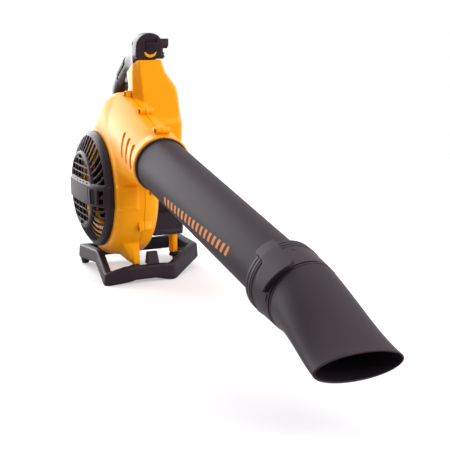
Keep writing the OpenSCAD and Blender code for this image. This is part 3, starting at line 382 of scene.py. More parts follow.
class Tree:
    """Adds nodes to a tree: settings come first, then the values or links of the inputs."""

    def __init__(self, tree):
        self.tree = tree

    def node(self, kind, inputs=None, out=0, **settings):
        made = self.tree.nodes.new(kind)
        for key, value in settings.items():
            setattr(made, key, value)
        for key, value in (inputs or {}).items():
            if isinstance(value, Wire):
                self.tree.links.new(value.socket, made.inputs[key])
            else:
                made.inputs[key].default_value = value
        return None if out is None else Wire(self, made.outputs[out])

    def value_math(self, operation, *values):
        return self.node("ShaderNodeMath", dict(enumerate(values)), operation=operation)

    def dot(self, a, b):
        return self.vector("DOT_PRODUCT", a, tuple(b), out=1)

    def other(self, wire, out):
        """Another output of the node that a wire leaves."""
        return Wire(self, wire.socket.node.outputs[out])

    def colour(self, factor, a, b):
        """Two colours mixed, each of three or four numbers or a wire."""
        made = self.tree.nodes.new("ShaderNodeMix")
        made.data_type = "RGBA"
        for socket, value in zip((made.inputs[0], made.inputs[6], made.inputs[7]), (factor, a, b)):
            if isinstance(value, Wire):
                self.tree.links.new(value.socket, socket)
            else:
                socket.default_value = (*value, 1) if len(value) == 3 else value
        return Wire(self, made.outputs[2])

    def vector(self, operation, *values, out=0):
        return self.node("ShaderNodeVectorMath", dict(enumerate(values)), out,
                         operation=operation)


FINISHES = {}
BRIGHT = {"Specular_IOR_Level": 0.55, "Specular_Tint": (1.0, 0.6, 0.2, 1)}
DULL = {"Specular_IOR_Level": 0.22, "Specular_Tint": (1.0, 0.84, 0.95, 1)}
SATIN = {"Specular_IOR_Level": 0.14, "Specular_Tint": (1.0, 0.84, 0.95, 1)}
# dashes on the tube, in metres: where they start and end, how far one is from the next, how
# their row climbs along the tube and where it starts, its height, and how much each leans;
# and the radius of the flank that they are printed on
DASH_START, DASH_END, DASH_PITCH = 0.1215, 0.3535, 0.0135
DASH_CLIMB, DASH_LOW, DASH_H, DASH_LEAN = 0.075, -0.0285, 0.0153, 0.45
FLANK_R = 0.042


class Finish(Tree):
    """A material with one Principled shader, reached by the names of its sockets."""

    def __init__(self, name, **fixed):
        material = bpy.data.materials.new(name)
        material.use_nodes = True
        super().__init__(material.node_tree)
        self.shader = self.tree.nodes["Principled BSDF"]
        for key, value in fixed.items():
            self.shader.inputs[key.replace("_", " ")].default_value = value
        FINISHES[name] = material
        self.material = material

    def place(self, turn=(0, 0, 0)):
        """Object coordinates, in metres."""
        here = self.node("ShaderNodeTexCoord", out="Object")
        return self.node("ShaderNodeMapping", {"Vector": here, "Rotation": turn})

    def noise(self, at, scale, detail=2.0, rough=0.5):
        return self.node("ShaderNodeTexNoise", {"Vector": at, "Scale": scale, "Detail": detail,
                                                "Roughness": rough})

    def feed(self, name, wire):
        self.tree.links.new(wire.socket, self.shader.inputs[name])

    def bump(self, height, strength, distance):
        self.feed("Normal", self.node("ShaderNodeBump", {"Height": height, "Strength": strength,
                                                         "Distance": distance}))


def shade(colour, k):
    return tuple(min(1.0, c * k) for c in colour[:3]) + (1.0,)


def moulded(name, colour, rough, grain, depth, cloud=0.06, **fixed):
    """Injection-moulded plastic: spark grain, faint clouding and an uneven gloss."""
    f = Finish(name, **fixed)
    at = f.place()
    slow = f.noise(at, 9.0, 3.0)
    fine = f.noise(at, grain, 2.0, 0.6)
    scuff = f.noise(f.place((0.4, 0.9, 0.2)), 60.0, 6.0, 0.75)
    f.feed("Base Color", f.colour(slow, shade(colour, 1 - cloud), shade(colour, 1 + cloud)))
    f.feed("Roughness", (rough - 0.05) + slow * 0.06 + scuff * 0.07)
    f.bump(fine + scuff * 0.25, 0.5, depth)


def metal(name, colour, rough, grain):
    """Drawn or cast metal with fine streaks along Y."""
    f = Finish(name, Metallic=1.0)
    at = f.place()
    streak = f.noise(f.vector("MULTIPLY", at, (1.0, 0.05, 1.0)), grain, 3.0)
    slow = f.noise(at, 40.0, 3.0)
    f.feed("Base Color", f.colour(slow, shade(colour, 0.86), shade(colour, 1.06)))
    f.feed("Roughness", (rough - 0.08) + streak * 0.16)
    f.bump(streak, 0.15, 0.0002)


# ---- the panel's numbers
def number(name, text, default, low, high, **more):
    return FloatProperty(name=name, description=text, default=default, min=low, max=high, **more)


def count_of(name, text, default, low, high):
    return IntProperty(name=name, description=text, default=default, min=low, max=high)


def tint(name, text, default):
    return FloatVectorProperty(name=name, description=text, subtype="COLOR", size=3,
                               default=default, min=0, max=1)


class BLOWER_PG_finish(bpy.types.PropertyGroup):
    """Colours and gloss of the blower's materials"""
    shell: tint("Shell", "Colour of the yellow mouldings", (0.97, 0.36, 0.0))
    dark: tint("Dark plastic", "Colour of the dark mouldings", (0.017, 0.011, 0.015))
    tube: tint("Tube", "Colour of the tube and the nozzle", (0.023, 0.0155, 0.0205))
    shell_gloss: number("Shell roughness", "Roughness of the shell", 0.36, 0.1, 0.9)
    grain: number("Grain", "Depth of the moulded grain", 0.00012, 0, 0.001, unit="LENGTH",
                  precision=5)


class BLOWER_OT_finishes(bpy.types.Operator):
    """Make the moulded plastics, rubber, metals and board materials"""
    bl_idname = "blower.finishes"
    bl_label = "Finishes"

    def execute(self, context):
        p = context.scene.blower_finish
        dark, tube, shell = tuple(p.dark), tuple(p.tube), tuple(p.shell)
        for name in ("yellow_plastic", "button_plastic"):
            moulded(name, shell, p.shell_gloss, 900.0, p.grain * 0.5, 0.03, **BRIGHT)
        for name, tone, rough, grain, cloud in (
                ("black_plastic", dark, 0.42, 700.0, 0.10),
                ("handle_plastic", dark, 0.38, 760.0, 0.10),
                ("battery_plastic", dark, 0.44, 640.0, 0.10),
                ("inner_plastic", shade(dark, 1.2), 0.55, 500.0, 0.08),
                ("fan_plastic", shade(dark, 0.7), 0.5, 420.0, 0.15)):
            moulded(name, tone, rough, grain, p.grain, cloud, **DULL)
        self.tube_finish(tube, p.grain, shell)
        moulded("tube_plastic_plain", shade(tube, 0.9), 0.46, 800.0, p.grain, 0.08, **DULL)
        self.rubber(dark, p.grain)
        for name, tone, rough, grain in (
                ("steel", (0.56, 0.56, 0.57), 0.28, 700.0),
                ("screw_steel", (0.03, 0.03, 0.032), 0.42, 700.0),
                ("cell_steel", (0.16, 0.30, 0.26), 0.42, 700.0),
                ("cast_aluminium", (0.60, 0.61, 0.63), 0.48, 260.0),
                ("contact_brass", (0.72, 0.52, 0.20), 0.25, 700.0),
                ("copper", (0.62, 0.25, 0.09), 0.32, 900.0),
                ("lamination", (0.32, 0.32, 0.34), 0.40, 1500.0)):
            metal(name, tone, rough, grain)
        self.board()
        return {"FINISHED"}

    def tube_finish(self, colour, grain, mark):
        """Satin tube with a slanted row of dashes printed on its right flank."""
        f = Finish("tube_plastic", **SATIN)
        at = f.place()
        slow = f.noise(at, 7.0, 3.0)
        fine = f.noise(at, 800.0, 2.0, 0.6)
        from_root = f.vector("SUBTRACT", at, tuple(TO_FRAME @ Vector((RING_X, 0, RING_Z))))
        along = f.dot(from_root, AIR)
        out = f.dot(from_root, (0, -1, 0))
        high = f.dot(from_root, (sin(radians(PITCH)), 0, cos(radians(PITCH))))
        height = f.value_math("ARCTAN2", high, out) * FLANK_R
        slant = (along - height * DASH_LEAN) / DASH_PITCH
        dash = (slant % 1.0).step(0.44, 0.47) * (1.0 - (slant % 1.0).step(0.93, 0.96))
        over = height - (along * DASH_CLIMB + DASH_LOW)
        soft = 0.0003
        band = over.step(0.0, 2 * soft) * (1.0 - over.step(DASH_H - soft, DASH_H + soft))
        soft = 0.0005
        span = along.step(DASH_START - soft, DASH_START + soft) * (
            1.0 - along.step(DASH_END - soft, DASH_END + soft))
        printed = (dash * band * span * (out > 0)).clear()
        body = f.colour(slow, shade(colour, 0.92), shade(colour, 1.08))
        f.feed("Base Color", f.colour(printed, body, (mark[0] * 0.8, mark[1] * 0.82, 0.09)))
        f.feed("Roughness", 0.50 + slow * 0.06 + printed * 0.08)
        f.bump(fine + printed * 0.4, 0.5, grain)

    def rubber(self, colour, grain):
        f = Finish("soft_rubber")
        at = f.place()
        cells = f.node("ShaderNodeTexVoronoi", {"Vector": at, "Scale": 420.0}, out=0)
        slow = f.noise(at, 14.0, 3.0)
        f.feed("Base Color", f.colour(slow, shade(colour, 0.6), shade(colour, 0.85)))
        f.feed("Roughness", 0.66 + slow * 0.12)
        f.bump(cells, 0.6, grain * 2.5)

    def board(self):
        f = Finish("board")
        at = f.place()
        lines = f.node("ShaderNodeTexBrick", {"Vector": at, "Color1": (0.006, 0.055, 0.02, 1),
                                              "Color2": (0.008, 0.075, 0.03, 1),
                                              "Mortar": (0.16, 0.30, 0.12, 1), "Scale": 160.0,
                                              "Mortar Size": 0.03})
        f.feed("Base Color", lines)
        f.feed("Roughness", 0.3 + f.noise(at, 50.0) * 0.1)


# ---- repeats, made by Geometry Nodes
def repeat_tree(title, inputs, points_of):
    """A tree that puts one part at each of some points."""
    made = bpy.data.node_groups.new(title, "GeometryNodeTree")
    sockets = {}
    for name, kind in {**inputs, "Part": "Object", "Turn": "Vector", "Finish": "Material"}.items():
        sockets[name] = made.interface.new_socket(name, in_out="INPUT",
                                                  socket_type="NodeSocket" + kind).identifier
    made.interface.new_socket("Geometry", in_out="OUTPUT", socket_type="NodeSocketGeometry")
    t = Tree(made)
    start = t.node("NodeGroupInput")
    given = {name: t.other(start, name) for name in sockets}
    points, turn = points_of(t, given)
    part = t.node("GeometryNodeObjectInfo", {"Object": given["Part"]}, "Geometry")
    copies = t.node("GeometryNodeInstanceOnPoints",
                    {"Points": points, "Instance": part, "Rotation": turn})
    whole = t.node("GeometryNodeRealizeInstances", {"Geometry": copies})
    done = t.node("GeometryNodeSetMaterial", {"Geometry": whole, "Material": given["Finish"]})
    t.node("NodeGroupOutput", {0: done}, out=None)
    return made, sockets


def row_points(t, given):
    """Each copy is moved by Step and turned by Turn from the one before."""
    index = t.node("GeometryNodeInputIndex")
    along = t.node("ShaderNodeVectorMath", {0: given["Step"], "Scale": index}, operation="SCALE")
    turn = t.node("ShaderNodeVectorMath", {0: given["Turn"], "Scale": index}, operation="SCALE")
    points = t.node("GeometryNodePoints", {"Count": given["Count"], "Position": along})
    return points, t.vector("ADD", turn, given["First turn"])


TREES = {}


def local(name, shape):
    """A unit part in its own millimetres, for a repeat."""
    return outwards(raw(name, *shape), 1e-4)


def grown(name, start, tree_name, place, unit, slot, **inputs):
    """Runs a repeat's tree on an object, keeps its mesh and lays it in the frame."""
    tree, sockets = TREES[tree_name]
    m = start.modifiers.new(tree_name, "NODES")
    m.node_group = tree
    m[sockets["Part"]], m[sockets["Finish"]] = unit, FINISHES[slot]
    for key, value in inputs.items():
        m[sockets[key.replace("_", " ").capitalize()]] = value
    settle(start)
    drop(unit)
    start.data.transform(TO_FRAME @ place)
    start.name = name
    return start


def row(name, slot, unit, count, place, step=(0, 0, 0), turn=(0, 0, 0), first=(0, 0, 0)):
    return grown(name, raw(name, ()), "row", place, unit, slot, count=count, step=step,
                 turn=turn, first_turn=first)


def scatter(name, slot, unit, points, place, turn=(0, 0, 0)):
    return grown(name, raw(name, points), "scatter", place, unit, slot, turn=turn)


# ---- housing
# degrees from the scroll's front, downwards, at which it begins to grow and is largest, and
# how late it grows
GROW_START, GROW_END, GROWTH = 80, 282, 3.3
# powers of the scroll's section: a full one and one that is hollow beside the rim
FULL, HOLLOW = 0.78, 3
LEFT_SLOPE, DUCT_SQUARE = 34, 2.7


def scroll_r(a):
    """The scroll's radius at an angle: small in front, growing round to the duct."""
    t = (720 - a) % 360
    if t < GROW_START:
        return FRONT_R
    if t < GROW_END:
        return mix(FRONT_R, TOP_R, ((t - GROW_START) / (GROW_END - GROW_START)) ** GROWTH)
    return mix(TOP_R, FRONT_R, ease((t - GROW_END) / (360 - GROW_END)))


def scroll_full(a):
    """How full the right side's section is: it's hollow beside the rim at the upper rear."""
    if a >= 150:
        return mix(HOLLOW, FULL, ease(clamp((a - 150) / 70)))
    return mix(mix(FULL, 0.6, clamp((a - 60) / 20)), HOLLOW, ease(clamp((a - 80) / 42)))


def scroll(side, inset, past=12.0, steps=18, around=180):
    """Half of the scroll, -1 right or 1 left, carried past the seam."""
    depth = (RIGHT_DEPTH if side < 0 else LEFT_DEPTH) - inset
    rings = []
    for i in range(steps, -1, -1):
        t = pi / 2 * i / steps
        ring = []
        for j in range(around):
            a = 360 * j / around
            outer = scroll_r(a) - inset
            face = RIM_R - inset if side < 0 else scroll_r(a) - LEFT_SLOPE - inset / 2
            full = scroll_full(a) if side < 0 else FULL
            x, z = polar(face + (outer - face) * max(cos(t), 0) ** full, a)
            ring.append((x, side * depth * sin(t) ** FULL, FAN_Z + z))
        rings.append(ring)
    rings.append([(x, -side * past, z) for x, _, z in rings[-1]])
    return loft(rings)


def duct(inset, past=0.0, steps=16, around=96):
    """The duct from the scroll to the tube's root, its section turning round on the way."""
    join = Vector((RING_X, 0, RING_Z)) - SOCKET * AIR

    def ring(u):
        half = mix((DUCT_TOP - DUCT_FLOOR) / 2, DUCT_END_R, u) - inset
        right = mix(RIGHT_DEPTH - 2, DUCT_END_R, u) - inset
        left = mix(LEFT_DEPTH - 1, DUCT_END_R, u) - inset
        z, x = mix((DUCT_TOP + DUCT_FLOOR) / 2, join.z, u), mix(DUCT_BEND, join.x, u)
        full, tilt = 2 / mix(DUCT_SQUARE, 2, u), radians(PITCH * u)
        points = []
        for j in range(around):
            a = 2 * pi * j / around
            p = mix(full, 1, 0.75 * clamp(cos(a) * 3)) if cos(a) > 0 and sin(a) > 0 else full
            c, s = power(cos(a), p), power(sin(a), p)
            points.append((x + half * s * sin(tilt), (left if c > 0 else right) * c,
                           z + half * s * cos(tilt)))
        return points
    rings = [[(DUCT_START, y * 0.98, z) for x, y, z in ring(0)]]
    rings += [ring(i / steps) for i in range(steps + 1)]
    rings.append([tuple(Vector(p) + (SOCKET + past) * AIR) for p in ring(1)])
    return loft(rings)


def duct_top(x):
    """The height of the duct's top at a place along it."""
    end_x = RING_X + DUCT_END_R * sin(radians(PITCH))
    end_z = RING_Z + DUCT_END_R * cos(radians(PITCH))
    return DUCT_TOP - (x - DUCT_BEND) * (DUCT_TOP - end_z) / (end_x - DUCT_BEND)


# the bosses' places, as x and z: on the duct, and at some degrees round the scroll
BOSSES = [(x, duct_top(x) + 3) for x in (56, 130, 206)] + [(178, DUCT_FLOOR - 5)]
for a in (334, 220, 172, 132):
    out, up = polar(scroll_r(a) + 4, a)
    BOSSES.append((out, FAN_Z + up))


def boss(place):
    """A boss with a foot that reaches towards the middle of the housing."""
    toward = Vector((40 - place[0], FAN_Z + 60 - place[1])).normalized() * 9
    root = circle(place[0] + toward.x, place[1] + toward.y, BOSS_R + 1)
    return sideways(outline_round(circle(*place, BOSS_R) + root), -BOSS_LEN, BOSS_LEFT)


def boss_holes():
    """The holes for the screws' heads, from the right."""
    hole = rod(BOSS_HOLE_R, -60, BOSS_HOLE_DEPTH - BOSS_LEN, 32)
    return [solid("hole", hole, moved(x, 0, z) @ turned(-90, "X")) for x, z in BOSSES]


def bosses():
    """The screw bosses, rounded on their edges."""
    return [round_edges(solid("boss", boss(place)), 1.1, 3, 40) for place in BOSSES]


def tower_rings(inset=0.0):
    """The tower's levels: height, rear, front, right, left and the legs of its cut corners."""
    f, r, left = TOWER_FRONT, TOWER_REAR, TOWER_LEFT
    low, high = (27, 12.5), (22, 10.5)
    levels = [
        (TOWER_BASE, r + 12, f - 34, 27, left - 4, (6, 6), (6, 6), (10, 6)),
        (TOWER_BASE + 30, r, f - 20, 27, left, (6, 6), (8, 8), (16, 8)),
        (LEDGE_Z - 84, r, f - 6, 20, left, (6, 6), (8, 8), low),
        (LEDGE_Z - 34, r, f + 2, 12, left, (6, 6), (8, 8), low),
        (LEDGE_Z - 7, r + 6, f + 4, 0.5, left, (6, 6), (12, 10), low),
        (LEDGE_Z, r + 8, COLUMN_FRONT, 0.5, left - 3, (14, 15), (16, 12), high),
        (LEDGE_Z + 34, r + 52, COLUMN_FRONT, 0.5, left - 7, (14, 15), (36, 12), high),
        (LEDGE_Z + 54, COLUMN_REAR - 6, COLUMN_FRONT, 0.5, left - 11, (15, 12), (32, 11), high),
        (LEDGE_Z + 82, COLUMN_REAR, COLUMN_FRONT, 0.5, left - 36, (16, 9), (15, 5), (12, 5)),
        (COLUMN_TOP, COLUMN_REAR, COLUMN_FRONT, HANDLE_Y - 22.5, HANDLE_Y + 25.5,
         (16, 5), (10, 4), (4, 3))]
    rings = []
    for i, (z, x0, x1, y0, y1, fr, rr, fl) in enumerate(levels):
        z += inset if i == 0 else -inset - 1 if inset and i == len(levels) - 1 else 0
        x0, x1, y0, y1 = x0 + inset, x1 - inset, y0 + inset, y1 - inset

        def legs(pair):
            a, b = 1 / pair[0], 1 / pair[1]
            return [v * (1 - inset * (a + b - math.hypot(a, b))) for v in pair]
        fr, rr, fl = legs(fr), legs(rr), legs(fl)
        ring = [(x1, y0 + fr[1]), (x1, y1 - fl[1]), (x1 - fl[0], y1), (x0 + 10, y1),
                (x0, y1 - 10), (x0, y0 + rr[1]), (x0 + rr[0], y0), (x1 - fr[0], y0)]
        rings.append([(x, y, z) for x, y in ring])
    return loft(rings[::-1])


def seat(gap=0.0):
    """Everything above the line on which the handle sits."""
    bend, fall = COLUMN_FRONT - 2, tan(radians(SEAT_FALL))
    outline = [(200, COLUMN_TOP + gap), (bend, COLUMN_TOP + gap),
               (-20, COLUMN_TOP + gap - (bend + 20) * fall), (-20, 600), (200, 600)]
    return sideways(outline, -50, 150)


# grooves in the duct's flank: x, lowest and highest z
GROOVES = ((193, 217, 256), (170, 222, 264), (147, 229, 271))
GROOVE_R, POCKET_R = 4.4, 6.0
BRACKET = [(78, 30.2), (92, 30.2), (92, 36), (78, 36), (78, 64), (88, 64), (88, 72), (78, 72)]
GUSSET = [(40, -34, 50), (40, 3, 40), (84, -38, 84), (88, 3, 80), (58, -27, 44), (52, 3, 36),
          (72, -17, 33), (70, 3, 31), (88, -13, 31), (88, 3, 31), (90, -14, 60)]


class BLOWER_PG_housing(bpy.types.PropertyGroup):
    """Walls and edges of the two housing halves"""
    wall: number("Wall", "Thickness of the housing's walls in mm", 2.6, 1.5, 4)
    grain: number("Face size", "Size of the faces of the shells in mm", 1.9, 1.2, 4)
    soften: count_of("Rounding", "Rounds of easing of the shells' edges", 6, 0, 30)
    groove: number("Groove depth", "Depth of the flank's grooves in mm", 4.2, 1, 5)


def carve_housing(obj, side, wall):
    """Cuts a half off at the seam, hollows it and drills its bosses."""
    cut(obj, solid("halves", box((-400, -SEAM if side < 0 else -400, -10),
                                 (600, 400 if side < 0 else SEAM, 700))))
    cut(obj, solid("inside", scroll(side, wall, 40, 12, 96)), solid("way out", duct(wall, 30)))
    cut(obj, *boss_holes())
    return obj


class BLOWER_OT_right_housing(bpy.types.Operator):
    """Mould the right half of the scroll and duct, with its bosses, bracket and grooves"""
    bl_idname = "blower.right_housing"
    bl_label = "Right housing"

    def execute(self, context):
        p = context.scene.blower_housing
        half = union(solid("right half", scroll(-1, 0)), solid("duct", duct(0)))
        bracket = solid("bracket", sideways(outline_round(BRACKET), -12, 3))
        union(half, bracket, self.gusset())
        step = keep(solid("step", scroll(-1, -3)),
                    solid("reach", box((RIM_R - 30, -RIGHT_DEPTH + 0.5, FAN_Z - BAND_H / 2),
                                       (RIM_R + 60, -14, FAN_Z + BAND_H / 2))))
        union(half, step)
        melt(half, p.grain, p.soften)
        union(half, *bosses())
        carve_housing(half, -1, p.wall)
        cut(half, solid("inlet", rod(HOLE_R, -12, 12, 144), INLET))
        for x, low, high in GROOVES:
            self.groove(half, x, low, high, p.groove)
        dress(half, "Housing_right", "frame", "yellow_plastic", "right_housing")
        return {"FINISHED"}

    def groove(self, half, x, low, high, deep):
        """Sinks a groove in the duct's flank, walled behind so that it stays shut."""
        ends = (2, low + 4), (-2, high - 4)
        pocket = keep(solid("pocket", sideways(stadium(*ends, POCKET_R), -80, -20),
                            moved(x, 0, 0)), solid("skin", duct(1.2)))
        union(half, cut(pocket, solid("air", duct(deep + 1.5))))
        groove = solid("groove", sideways(stadium(*ends, GROOVE_R), -80, -20), moved(x, 0, 0))
        cut(half, cut(groove, solid("floor", duct(deep))))

    def gusset(self):
        """Fills the corner between the bracket's foot and the underside of the scroll."""
        made = raw("gusset", ())
        b = bmesh.new()
        for p in GUSSET:
            b.verts.new(TO_FRAME @ Vector(p))
        bmesh.ops.convex_hull(b, input=b.verts)
        b.to_mesh(made.data)
        b.free()
        return outwards(made)


class BLOWER_OT_left_housing(bpy.types.Operator):
    """Mould the left half of the scroll and duct with the tower that carries the handle"""
    bl_idname = "blower.left_housing"
    bl_label = "Left housing"

    def execute(self, context):
        p = context.scene.blower_housing
        half = union(solid("left half", scroll(1, 0)), solid("duct", duct(0)))
        union(half, solid("tower", tower_rings()))
        melt(half, p.grain, p.soften)
        union(half, *bosses())
        cut(half, solid("over seat", seat()))
        inside = cut(solid("tower inside", tower_rings(p.wall)), solid("roof", seat(-p.wall)))
        carve_housing(half, 1, p.wall)
        shaft = solid("motor hole", rod(MOTOR_HOLE_R, LEFT_DEPTH - 20, TOWER_LEFT + 20, 96), FAN)
        cut(half, inside, shaft)
        lower = placed("lower", half.data.copy())
        keep(lower, solid("below", self.belly(0.2)))
        cut(half, solid("above", self.belly(-0.2)))
        dress(half, "Housing_left", "frame", "yellow_plastic", "left_housing")
        dress(lower, "Motor_belly", "frame", "black_plastic", "left_housing")
        return {"FINISHED"}

    def belly(self, gap):
        """The space under the line at which the tower's lower part begins."""
        top = TOWER_BASE + BELLY_H - gap
        return box((TOWER_REAR - 20, LEFT_DEPTH + 3 + gap, 60), (TOWER_FRONT + 30, 150, top))


# ---- intake
# the dome's radius and height, from the rim to the middle
DOME = [(RIM_R, 6), (98, 13.2), (86, 21.1), (74, 26.4), (64, 29.4), (42, 31.5), (20, 32.6),
        (0, DOME_H)]


def dome_height(r):
    """The dome's height at a radius."""
    for (r1, h1), (r0, h0) in zip(DOME, DOME[1:]):
        if r0 <= r <= r1:
            return mix(h0, h1, (r - r0) / (r1 - r0))
    return DOME[0][1]


def dome_path(r1, r0, steps):
    """Points of (radius, height) on the dome, eased a little."""
    line = [mix(r1, r0, i / steps) for i in range(steps + 1)]
    heights = [dome_height(r) for r in line]
    for _ in range(2):
        heights = [heights[0]] + [(a + 2 * b + c) / 4 for a, b, c in
                                  zip(heights, heights[1:], heights[2:])] + [heights[-1]]
    return list(zip(line, heights))


def dome(grow, base=0.0, sides=144):
    """The dome as a solid, its surface moved out by grow."""
    line = dome_path(RIM_R, 0.5, 50)
    outer = [(RIM_R + grow, base)] + [(r + grow * (0.9 if r > 60 else 0.3 * r / 60), h + grow)
                                    for r, h in line] + [(0.0, line[-1][1] + grow), (0.0, base)]
    return spin(outer, sides)


def bead(path, half_w, thick, sides=10):
    """A bar with a rounded face, along a path of (point, sideways, upwards, width share)."""
    rings = []
    for point, across, up, share in path:
        w = half_w * share
        ring = []
        for i in range(sides + 1):
            a = pi * i / sides
            ring.append(tuple(point + across * (w * cos(a)) + up * (thick * (sin(a) ** 0.7 - 1))))
        ring += [tuple(point - across * w * 0.8 - up * thick * 1.9),
                 tuple(point + across * w * 0.8 - up * thick * 1.9)]
        rings.append(ring)
    return loft(rings)


# outlines of (radius, height), the reach of the band's windows along x, and the band's
# section as (y, height over the dome)
RIM = [(94.5, 0.2), (103, 0.2), (104, 1.2), (104, 6.4), (103, 8.6), (100.5, 11.2), (98, 13.0),
       (96, 14.2), (94.4, 13.4), (94.0, 11.2), (96.5, 8), (97.5, 4.5), (94.5, 3)]
FACE_EDGE = [(68.5, 21.5), (70.2, 25.4), (69.2, 28.6), (66.5, 30.2), (63.0, 30.7)]
WINDOWS = ((63.5, 76), (83, 95.5), (-76, -63.5), (-95.5, -83))
BAND_SECTION = ((-20, 1.2), (-19.2, 2.9), (-18, BAND_T), (-9, BAND_T), (0, BAND_T), (8, BAND_T),
                (15.2, BAND_T), (17.6, BAND_T - 1.7), (20, 0.2))
# the face's cells, the ribs' ends and the notches in the band's upper chamfer
CELL_STEP_X, CELL_STEP_Y, CELL_HALF_W, CELL_H, CELL_GAP = 20.5, 11.8, 8.9, 9.4, 1.6
CELL_ROWS, CELL_COLUMNS, CELLS_R, CELL_R = 4, 7, 63.2, 1.4
RIB_FOOT_R, RIB_HEAD_R = 99.5, 66.5
NOTCHES, NOTCH_Y = (-42, -24, -6, 12, 30, 48), 17.7


class BLOWER_PG_intake(bpy.types.PropertyGroup):
    """Cage over the air inlet"""
    ribs: count_of("Ribs", "Number of ribs round the cage's flank", RIBS, 24, 60)
    lean: number("Lean", "How far each rib leans round the cage, in degrees", 9.0, 0, 30)


class BLOWER_OT_intake(bpy.types.Operator):
    """Build the inlet's cage: rim, shoulder, leaning ribs, barred face and band"""
    bl_idname = "blower.intake"
    bl_label = "Intake cage"

    def execute(self, context):
        p = context.scene.blower_intake
        rim = solid("rim", spin(RIM, 180), INLET)
        ribs = row("ribs", "black_plastic", local("rib", self.rib(p.lean)), p.ribs, INLET,
                   turn=(0, 0, 2 * pi / p.ribs), first=(0, 0, pi / p.ribs))
        cage = together(rim, ribs, self.face())
        dress(cage, "Cage", "frame", "black_plastic", "intake_grille", edge=40)
        dress(self.band(), "Cage_band", "frame", "black_plastic", "grille_band", edge=34)
        return {"FINISHED"}

    def band(self):
        """The band over the cage, with windows, a slit and the notches in its chamfer."""
        band = solid("band", self.plate(), INLET)
        cut(band, solid("under", dome(0.15, -1), INLET),
            solid("open", rod(BAND_BORE_R, -2, 12), INLET))
        cut(band, *(solid("window", round_box((x0, -15.5, 7), (x1, 10.5, 60), 1.2), INLET)
                    for x0, x1 in WINDOWS))
        cut(band, solid("slit", box((54, -15, 25), (56, 13.5, 60)), INLET))
        unit = local("notch", round_box((-6, -1.0, -1.3), (6, 1.0, 6), 0.9))
        places = [(x, NOTCH_Y, dome_height(math.hypot(x, NOTCH_Y)) + BAND_T / 2) for x in NOTCHES]
        return cut(band, scatter("notches", "black_plastic", unit, places, INLET,
                                 turn=(-0.62, 0, 0)))

    def rib(self, lean):
        """One rib, from the rim to the face, leaning round the dome."""
        path = []
        line = dome_path(RIB_FOOT_R, RIB_HEAD_R, 14)
        for i, (r, h) in enumerate(line):
            u = i / (len(line) - 1)
            a = radians(-lean * u - 3 * sin(pi * u))
            out = Vector((cos(a), sin(a), 0))
            nxt = line[min(i + 1, len(line) - 1)]
            prev = line[max(i - 1, 0)]
            down = Vector((prev[0] - nxt[0], 0, prev[1] - nxt[1])).normalized()
            up = Vector((-down.z * out.x, -down.z * out.y, down.x)).normalized()
            across = Vector((-sin(a), cos(a), 0))
            width = mix(2.5, 1.9, u)
            path.append((Vector((r * cos(a), r * sin(a), h)), across, up, width))
        return bead(path, 1.0, 1.9, 8)

    def face(self):
        """The barred disc: rows of cells above and below the band are cut from it."""
        disc = FACE_EDGE + [(r, h) for r, h in dome_path(60, 0.5, 24)] + [(0.0, DOME_H)]
        disc += [(0.0, DOME_H - 3)] + [(r, h - 3) for r, h in dome_path(60, 0.5, 24)[::-1]]
        disc += [(63, 26.4), (65.5, 22.5)]
        face = solid("face", spin(disc, 120), INLET)
        for i in range(CELL_ROWS):
            for k in range(CELL_COLUMNS):
                for side in (-1, 1):
                    x = (k - CELL_COLUMNS // 2) * CELL_STEP_X
                    y = BAND_H / 2 - 0.5 + i * CELL_STEP_Y
                    low = y + CELL_GAP if side > 0 else -y - CELL_GAP - CELL_H
                    if math.hypot(max(abs(x) - 8.8, 0), y + 4) < 60:
                        cell = round_box((x - CELL_HALF_W, low, 10),
                                         (x + CELL_HALF_W, low + CELL_H, 60), CELL_R)
                        cut(face, keep(solid("cell", cell, INLET),
                                       solid("ring", rod(CELLS_R, 5, 70, 96), INLET)))
        return melt(face, 0.8, 3)

    def plate(self):
        """The band's outside: it follows the dome and has a wide chamfer on its top edge."""
        rings = []
        for i in range(81):
            x = RIM_R * sin(radians(mix(-90, 90, i / 80)))
            line = [(x, y, dome_height(min(math.hypot(x, y), RIM_R)) + t)
                    for y, t in BAND_SECTION]
            rings.append(line + [(x, 20, 0.3), (x, -20, 0.3)])
        return loft(rings)


# ---- tube and nozzle
# the mouth ring's outline, as radius and distance along the tube
LIP = [(44.1, -13.8), (45.9, -13.8), (45.9, -2.6), (46.0, -1.6), (46.0, 0.2), (45.9, 1.6),
       (45.5, 2.5), (44.9, 2.95), (44.1, 3.0)]
# the latch plate's outline: degrees round the tube and distance from its root
LATCH = [(197.4, 424.8), (200, 452), (201.6, 476), (203.5, 482), (209, 485), (219, 484),
         (228, 482.5), (238, 480.5), (249, 478), (256, 477), (259.5, 475.5), (258.5, 467),
         (256.5, 460.5), (252, 457.3), (245, 454.5), (238, 452), (232, 451.5), (229, 449),
         (227.6, 442), (227, 428.6), (224, 425.2), (215, 424.4), (206, 424.4)]

# how deep the plate reaches into the collar, how far from the collar's rear it begins to fall
# towards the nozzle, and how steeply
LATCH_SINK, LATCH_LEVEL, LATCH_FALL = 1.8, 16, 0.055


def tube_r(s):
    """The tube's radius at a distance along it."""
    return mix(TUBE_ROOT_R, TUBE_TIP_R, (s + RING_DEPTH) / (COLLAR_START + RING_DEPTH))


class BLOWER_PG_tube(bpy.types.PropertyGroup):
    """Tube, its ring and the nozzle"""
    sides: count_of("Sides", "Faces round the tube", 160, 48, 256)
    mouth_half_w: number("Mouth half width", "Half width of the mouth in mm", 57.0, 50, 62)
    mouth_half_h: number("Mouth half height", "Half height of the mouth in mm", 19.4, 16, 24)
    mouth_drop: number("Mouth drop", "How far the mouth lies below the tube's axis in mm", 18.0,
                       12, 24)


